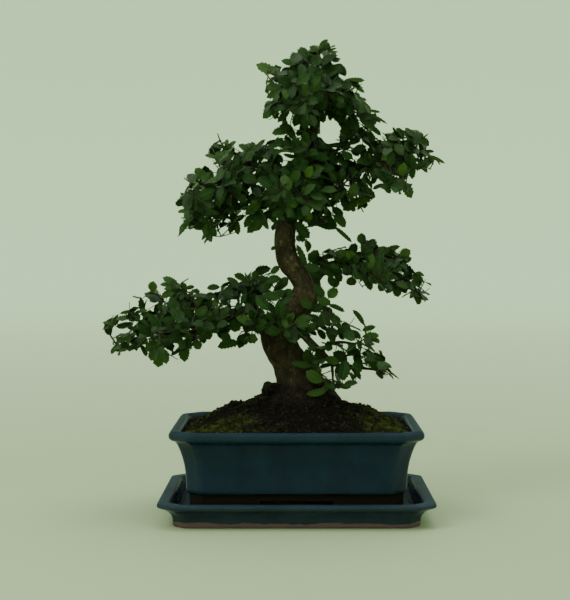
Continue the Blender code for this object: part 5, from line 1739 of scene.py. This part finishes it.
def trimmed(leaf):
    """The leaf, smaller if it would reach the fringe, which has leaves of its own."""
    base, along, facing, length, width = leaf
    for share in TRIMS:
        smaller = (base, along, facing, length * share, width * share)
        if not near_edge(leaf_corners(smaller)[1:], TRIM_MARGIN):
            break
    return smaller


def fringe_leaf(rng, row, anchors, taken, wood):
    """A leaf of the fringe and the twig that carries it, clear of the wood and of other leaves."""
    x0, z0, x1, z1, width = (value / 1000 for value in row[:5])
    root = min(anchors, key=lambda p: (math.dist(seen_from_front(p), (x0, z0)), abs(p.y)))
    best = None
    for setback in FRINGE_SETBACKS:
        y = root.y * 0.7 + setback + rng.uniform(-0.002, 0.002)
        base = set_back(x0, z0, y)
        tip = set_back(x1, z1, y + rng.uniform(-0.004, 0.004))
        along = (tip - base).normalized()
        facing = Vector((rng.uniform(-0.3, 0.3), -1.0, rng.uniform(0.1, 0.6)))
        facing = (facing - along * facing.dot(along)).normalized()
        leaf = (base, along, facing, (tip - base).length, width)
        shape = tree_of(leaf_corners(leaf), LEAF_FACES)
        if blocked(shape, wood):
            continue
        best = leaf
        if not blocked(shape, taken.around(base.lerp(tip, 0.5))):
            break
    if best is None:
        return None
    base, along = best[:2]
    root = min(anchors, key=lambda p: (p - base).length)
    heading = (base - root).normalized() + along * 0.3 + jitter(rng, 0.2)
    taken.add(middle_of(best), tree_of(leaf_corners(best), LEAF_FACES))
    return arc(root, heading.normalized(), base), best


def anchors_on(run):
    """Points of a thin run of wood that small twigs can grow from."""
    return [Vector(point[:3]) for point in fine_run(run, ANCHOR_STEP) if point[3] < ANCHOR_RADIUS]


def near_wood(family, paths):
    """Points along a family's limbs and twigs that small twigs can grow from."""
    stem = family.replace("_spray", "")
    places = []
    for name, points in LIMBS.items():
        if name == stem or name.startswith(stem + "_"):
            places += anchors_on(points)
    low, high = TRUNK_IN_PAD.get(stem, (0.0, 0.0))
    places += [Vector(p[:3]) for p in fine_run(TRUNK, ANCHOR_STEP) if low < p[2] < high]
    for path in paths:
        places += anchors_on([(*point, 0.0) for point in path])
    return places


def fill_leaves(rng, path, taken, wood):
    """Two to four small leaves along a short twig, where nothing is in their way."""
    points = [(*point, 0.0) for point in path]
    count = rng.choice((2, 3, 3, 4))
    side = rng.choice((-1, 1))
    leaves = []
    for k in range(count):
        last = k == count - 1
        place, along, _radius = place_along(points, 1.0 if last else 0.45 + 0.5 * k / count)
        for _attempt in range(FILL_LEAF_TRIES):
            base, heading, facing, length, width = leaf_at(rng, place, along, side, last)
            facing += jitter(rng, 0.8)
            facing = (facing - heading * facing.dot(heading)).normalized()
            shrink = rng.uniform(*FILL_SIZES)
            leaf = (base, heading, facing, length * shrink, width * shrink)
            corners = leaf_corners(leaf)
            spine = [middle_of(leaf), base + heading * leaf[3]]
            if by_fringe(spine) or in_gap(spine) or barred(corners, TRIM_MARGIN):
                continue
            shape = tree_of(corners, LEAF_FACES)
            middle = base + heading * length * 0.5
            if blocked(shape, wood) or blocked(shape, taken.around(middle)):
                continue
            leaves.append(leaf)
            taken.add(middle, shape)
            break
        side = -side
    return leaves


def fill_pad(rng, family, plans, taken, wood):
    """Small twigs and leaves spread through a pad: for each spray, its paths and leaves."""
    paths = {name: plan[0] for name, plan in plans.items() if name.startswith(family)}
    anchors = near_wood(family, [path for group in paths.values() for path in group])
    pitch = FILL_PITCHES.get(family, FILL_PITCH)
    goals = Nearby(pitch)
    fills = {name: ([], []) for name in paths}
    owners = [(name, point) for name, group in paths.items() for path in group for point in path]
    for _ in range(FILL_TRIES):
        anchor = rng.choice(anchors)
        away = jitter(rng, 1.0)
        away.z *= 0.75
        if away.length < 0.05:
            continue
        goal = anchor + away.normalized() * rng.uniform(FILL_NEAR, FILL_FAR)
        if any((goal - other).length < pitch for other in goals.around(goal)):
            continue
        if barred([goal], FILL_MARGIN) or in_gap([goal]):
            continue
        root = min(anchors, key=lambda p: (p - goal).length_squared)
        outward = (goal - root).normalized()
        path = arc(root, (outward + jitter(rng, 0.35)).normalized(), goal)
        leaves = fill_leaves(rng, path, taken, wood)
        if leaves:
            goals.add(goal, goal)
            small_paths, small_leaves = fills[nearest_spray(owners, goal)]
            small_paths.append(path)
            small_leaves.extend(leaves)
    return fills


def nearest_spray(owners, place):
    """Name of the spray with a twig nearest to the place."""
    return min(owners, key=lambda pair: (pair[1] - place).length_squared)[0]


def make_foliage():
    """A piece for each spray: its own twigs and leaves made fine, and the small ones that fill it."""
    plans = plan_sprays()
    wood = wood_obstacles()
    taken = Nearby(LEAF_CELL)
    rng = random.Random(FILL_SEED)
    for name, (paths, leaves) in plans.items():
        leaves = [trimmed(leaf) for leaf in leaves if not in_gap([middle_of(leaf)])]
        plans[name] = (paths, leaves)
        for leaf in leaves:
            taken.add(middle_of(leaf), tree_of(leaf_corners(leaf), LEAF_FACES))
    owners = [(name, point) for name, (paths, _leaves) in plans.items() for path in paths for point in path]
    anchors = [point for family in SPRAYS for point in near_wood(family, [])]
    anchors += [point for _name, point in owners]
    fringe = {name: [] for name in plans}
    for row in FRINGE:
        grown = fringe_leaf(rng, row, anchors, taken, wood)
        if grown is None:
            continue
        path, leaf = grown
        anchors += path[1:]
        fringe[nearest_spray(owners, path[-1])].append((path, leaf, row[5] / 100))
    look = bpy.context.scene.bonsai_tree
    surfaces = (
        leaf_surface("leaf green", look.leaf, look.fresh_leaf, look.leaf_underside),
        twig_surface("twig brown", look.twig, look.young_twig),
    )
    for family in SPRAYS:
        rng = random.Random(f"{family} fill {FILL_SEED}")
        fills = fill_pad(rng, family, plans, taken, wood)
        for name, (small_paths, small_leaves) in fills.items():
            paths, leaves = plans[name]
            piece = Foliage()
            for path in paths:
                piece.twig(path, *SPRAY_TWIG)
            for path in small_paths:
                piece.twig(path, *FILL_TWIG)
            for path, leaf, fresh in fringe[name]:
                piece.twig(path, *FRINGE_TWIG)
                piece.leaf(leaf, rng, fresh)
            for leaf in leaves:
                piece.leaf(leaf, rng, 0.45 * rng.random() ** 3)
            for leaf in small_leaves:
                piece.leaf(leaf, rng, 0.8 * rng.random() ** 7)
            belongs(piece.build(f"{name}_leaves", surfaces), "foliage", name)


# ---- stage

STUDIO_RADIUS = 3.4
STUDIO_SWEEP = 1.4
STUDIO_WALL = 1.0


def make_stage():
    """Pale floor that curves up into a pale surround, soft light from above, and the camera."""
    look = bpy.context.scene.bonsai_studio
    bpy.ops.mesh.primitive_circle_add(vertices=96, radius=STUDIO_RADIUS, location=(0.0, 0.0, -0.0002))
    floor = bpy.context.object
    floor.name = "floor"
    bpy.ops.object.transform_apply(location=True)
    bpy.ops.object.mode_set(mode="EDIT")
    steps = 12
    for step in range(1, steps + 2):
        angle = math.radians(90.0 * min(step, steps) / steps)
        radius = STUDIO_RADIUS + STUDIO_SWEEP * math.sin(angle)
        height = STUDIO_SWEEP * (1.0 - math.cos(angle)) + (STUDIO_WALL if step > steps else 0.0)
        bpy.ops.mesh.extrude_region_move()
        mesh = bmesh.from_edit_mesh(floor.data)
        for vertex in mesh.verts:
            if vertex.select:
                flat = Vector((vertex.co.x, vertex.co.y)).normalized() * radius
                vertex.co = (flat.x, flat.y, height)
        bmesh.update_edit_mesh(floor.data)
    bpy.ops.mesh.select_all(action="DESELECT")
    mesh = bmesh.from_edit_mesh(floor.data)
    for edge in mesh.edges:
        edge.select = all(vertex.co.z < 0.0 for vertex in edge.verts)
    bmesh.update_edit_mesh(floor.data)
    bpy.ops.mesh.edge_face_add()
    bpy.ops.mesh.select_all(action="SELECT")
    bpy.ops.mesh.normals_make_consistent(inside=True)
    bpy.ops.object.mode_set(mode="OBJECT")
    smooth(floor, 30.0)
    floor.data.materials.append(floor_surface("floor", look.floor, look.wall))
    world = bpy.data.worlds.new("studio")
    bpy.context.scene.world = world
    world.use_nodes = True
    sky = world.node_tree.nodes["Background"]
    sky.inputs["Color"].default_value = (*look.surroundings, 1.0)
    sky.inputs["Strength"].default_value = look.fill_light
    for name, power, size, place, aim in (
        ("window", look.key_light, 1.0, (-1.3, -1.2, 1.9), (0.0, 0.0, 0.25)),
        ("ceiling", look.top_light, 1.6, (0.3, 0.2, 2.4), (0.0, 0.0, 0.20)),
    ):
        lamp = bpy.data.lights.new(name, "AREA")
        lamp.energy = power
        lamp.size = size
        held = linked(name, lamp)
        held.location = place
        held.rotation_euler = (Vector(aim) - Vector(place)).to_track_quat("-Z", "Y").to_euler()
    eye = bpy.data.cameras.new("camera")
    eye.lens = look.lens
    camera = linked("camera", eye)
    camera.location = (EYE_X, -EYE_DISTANCE, EYE_HEIGHT)
    camera.rotation_euler = (math.pi / 2 - look.camera_pitch, 0.0015, 0.0074)
    bpy.context.scene.camera = camera


# ---- add-on


def colour_property(name, text, default):
    """A colour that the user can change."""
    return bpy.props.FloatVectorProperty(name=name, description=text, default=default, subtype="COLOR",
                                         min=0.0, max=1.0)


class BonsaiPotSettings(bpy.types.PropertyGroup):
    """Finishes of the pot, the tray and the soil."""

    pot_glaze: colour_property("Pot glaze", "Colour of the pot's glaze where it is thick",
                               (0.0062, 0.0188, 0.0390))
    tray_glaze: colour_property("Tray glaze", "Colour of the tray's glaze where it is thick",
                                (0.0190, 0.0320, 0.0520))
    # Pale glaze, also the colour of the highlight painted on the glaze's edges
    thin_glaze_and_edge_highlight: colour_property("Glaze on edges", "Colour of the glaze where it runs thin",
                                (0.015, 0.037, 0.043))
    clay: colour_property("Clay", "Colour of the tray's bare clay", (0.190, 0.107, 0.115))
    foot_clay: colour_property("Foot clay", "Colour of the pot's bare foot", (0.012, 0.007, 0.004))
    pot_glaze_line: bpy.props.FloatProperty(name="Pot glaze line",
                                            description="Height where glaze starts",
                                            default=0.0325, subtype="DISTANCE")
    tray_glaze_line: bpy.props.FloatProperty(name="Tray glaze line",
                                             description="Height where glaze starts",
                                             default=0.0045, subtype="DISTANCE")
    wet_soil: colour_property("Wet soil", "Colour of the soil in its hollows", (0.0022, 0.0018, 0.0012))
    dry_soil: colour_property("Dry soil", "Colour of the soil on its crumbs", (0.0110, 0.0085, 0.0050))
    crumbs: colour_property("Crumbs", "Colour of the palest crumbs", (0.034, 0.027, 0.017))
    moss: colour_property("Moss", "Colour of old moss", (0.020, 0.026, 0.006))
    fresh_moss: colour_property("Fresh moss", "Colour of new moss", (0.165, 0.200, 0.030))


class BonsaiTreeSettings(bpy.types.PropertyGroup):
    """Finishes of the tree."""

    old_bark: colour_property("Old bark", "Colour of the trunk's bark", (0.072, 0.056, 0.030))
    young_bark: colour_property("Young bark", "Colour of bark on thin limbs", (0.036, 0.027, 0.016))
    bark_cracks: colour_property("Bark cracks", "Colour in the cracks", (0.010, 0.008, 0.005))
    twig: colour_property("Twig", "Colour of twigs", (0.030, 0.020, 0.011))
    young_twig: colour_property("Young twig", "Colour of new twigs", (0.034, 0.038, 0.012))
    leaf: colour_property("Leaf", "Colour of a grown leaf", (0.0090, 0.0325, 0.0048))
    fresh_leaf: colour_property("Fresh leaf", "Colour of a new leaf", (0.050, 0.110, 0.012))
    leaf_underside: colour_property("Leaf underside", "Colour of a leaf from below", (0.020, 0.046, 0.011))


class BonsaiStudioSettings(bpy.types.PropertyGroup):
    """Floor, light and camera."""

    floor: colour_property("Floor", "Colour of the floor", (0.40, 0.485, 0.290))
    wall: colour_property("Wall", "Colour of the surround", (0.83, 1.0, 0.74))
    surroundings: colour_property("Surroundings", "Colour all round", (0.79, 0.88, 0.76))
    fill_light: bpy.props.FloatProperty(name="Fill light", description="Strength of the surroundings",
                                        default=1.15, min=0.0)
    key_light: bpy.props.FloatProperty(name="Window", description="Power of the large light at the left",
                                       default=24.0, min=0.0, unit="POWER")
    top_light: bpy.props.FloatProperty(name="Ceiling", description="Power of the light overhead",
                                       default=20.0, min=0.0, unit="POWER")
    lens: bpy.props.FloatProperty(name="Lens", description="Focal length in millimetres", default=87.2,
                                  min=10.0)
    camera_pitch: bpy.props.FloatProperty(name="Pitch", description="How far the camera looks down",
                                          default=0.0395, subtype="ANGLE")


class BONSAI_OT_tray(bpy.types.Operator):
    """Make the drip tray"""

    bl_idname = "bonsai.tray"
    bl_label = "Drip Tray"

    def execute(self, context):
        make_tray_piece()
        return {"FINISHED"}


class BONSAI_OT_pot(bpy.types.Operator):
    """Make the glazed pot"""

    bl_idname = "bonsai.pot"
    bl_label = "Pot"

    def execute(self, context):
        make_pot_piece()
        dress_screens()
        return {"FINISHED"}


class BONSAI_OT_soil(bpy.types.Operator):
    """Make the soil, its crumbs and the moss"""

    bl_idname = "bonsai.soil"
    bl_label = "Soil and Moss"

    def execute(self, context):
        make_soil_piece()
        make_crumbs()
        make_moss()
        return {"FINISHED"}


class BONSAI_OT_wood(bpy.types.Operator):
    """Make the trunk and limbs"""

    bl_idname = "bonsai.wood"
    bl_label = "Trunk and Limbs"

    def execute(self, context):
        make_wood()
        return {"FINISHED"}


class BONSAI_OT_foliage(bpy.types.Operator):
    """Make the twigs and leaves"""

    bl_idname = "bonsai.foliage"
    bl_label = "Twigs and Leaves"

    def execute(self, context):
        make_foliage()
        return {"FINISHED"}


class BONSAI_OT_stage(bpy.types.Operator):
    """Set up the floor, the light and the camera"""

    bl_idname = "bonsai.stage"
    bl_label = "Stage"

    def execute(self, context):
        make_stage()
        return {"FINISHED"}


class BONSAI_PT_panel(bpy.types.Panel):
    """Lists the pieces in the 3D view's sidebar"""

    bl_idname = "BONSAI_PT_panel"
    bl_label = "Chinese Elm Bonsai"
    bl_space_type = "VIEW_3D"
    bl_region_type = "UI"
    bl_category = "Bonsai"

    def draw(self, context):
        for operator in OPERATORS:
            self.layout.operator(operator.bl_idname)
        for group in (context.scene.bonsai_pot, context.scene.bonsai_tree, context.scene.bonsai_studio):
            box = self.layout.box()
            for name in group.__annotations__:
                box.prop(group, name)


OPERATORS = (BONSAI_OT_stage, BONSAI_OT_tray, BONSAI_OT_pot, BONSAI_OT_soil, BONSAI_OT_wood,
             BONSAI_OT_foliage)
SETTINGS = {"bonsai_pot": BonsaiPotSettings, "bonsai_tree": BonsaiTreeSettings,
            "bonsai_studio": BonsaiStudioSettings}


def register():
    """Add the classes and the settings."""
    for made in (*SETTINGS.values(), *OPERATORS, BONSAI_PT_panel):
        bpy.utils.register_class(made)
    for name, group in SETTINGS.items():
        setattr(bpy.types.Scene, name, bpy.props.PointerProperty(type=group))


def unregister():
    """Take them away again."""
    for name in SETTINGS:
        delattr(bpy.types.Scene, name)
    for made in reversed((*SETTINGS.values(), *OPERATORS, BONSAI_PT_panel)):
        bpy.utils.unregister_class(made)


def main():
    """Register the add-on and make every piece."""
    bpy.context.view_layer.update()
    register()
    bpy.ops.object.select_all(action="DESELECT")
    bpy.ops.bonsai.stage()
    bpy.ops.bonsai.tray()
    bpy.ops.bonsai.pot()
    bpy.ops.bonsai.soil()
    bpy.ops.bonsai.wood()
    bpy.ops.bonsai.foliage()


if __name__ == "__main__":
    main()
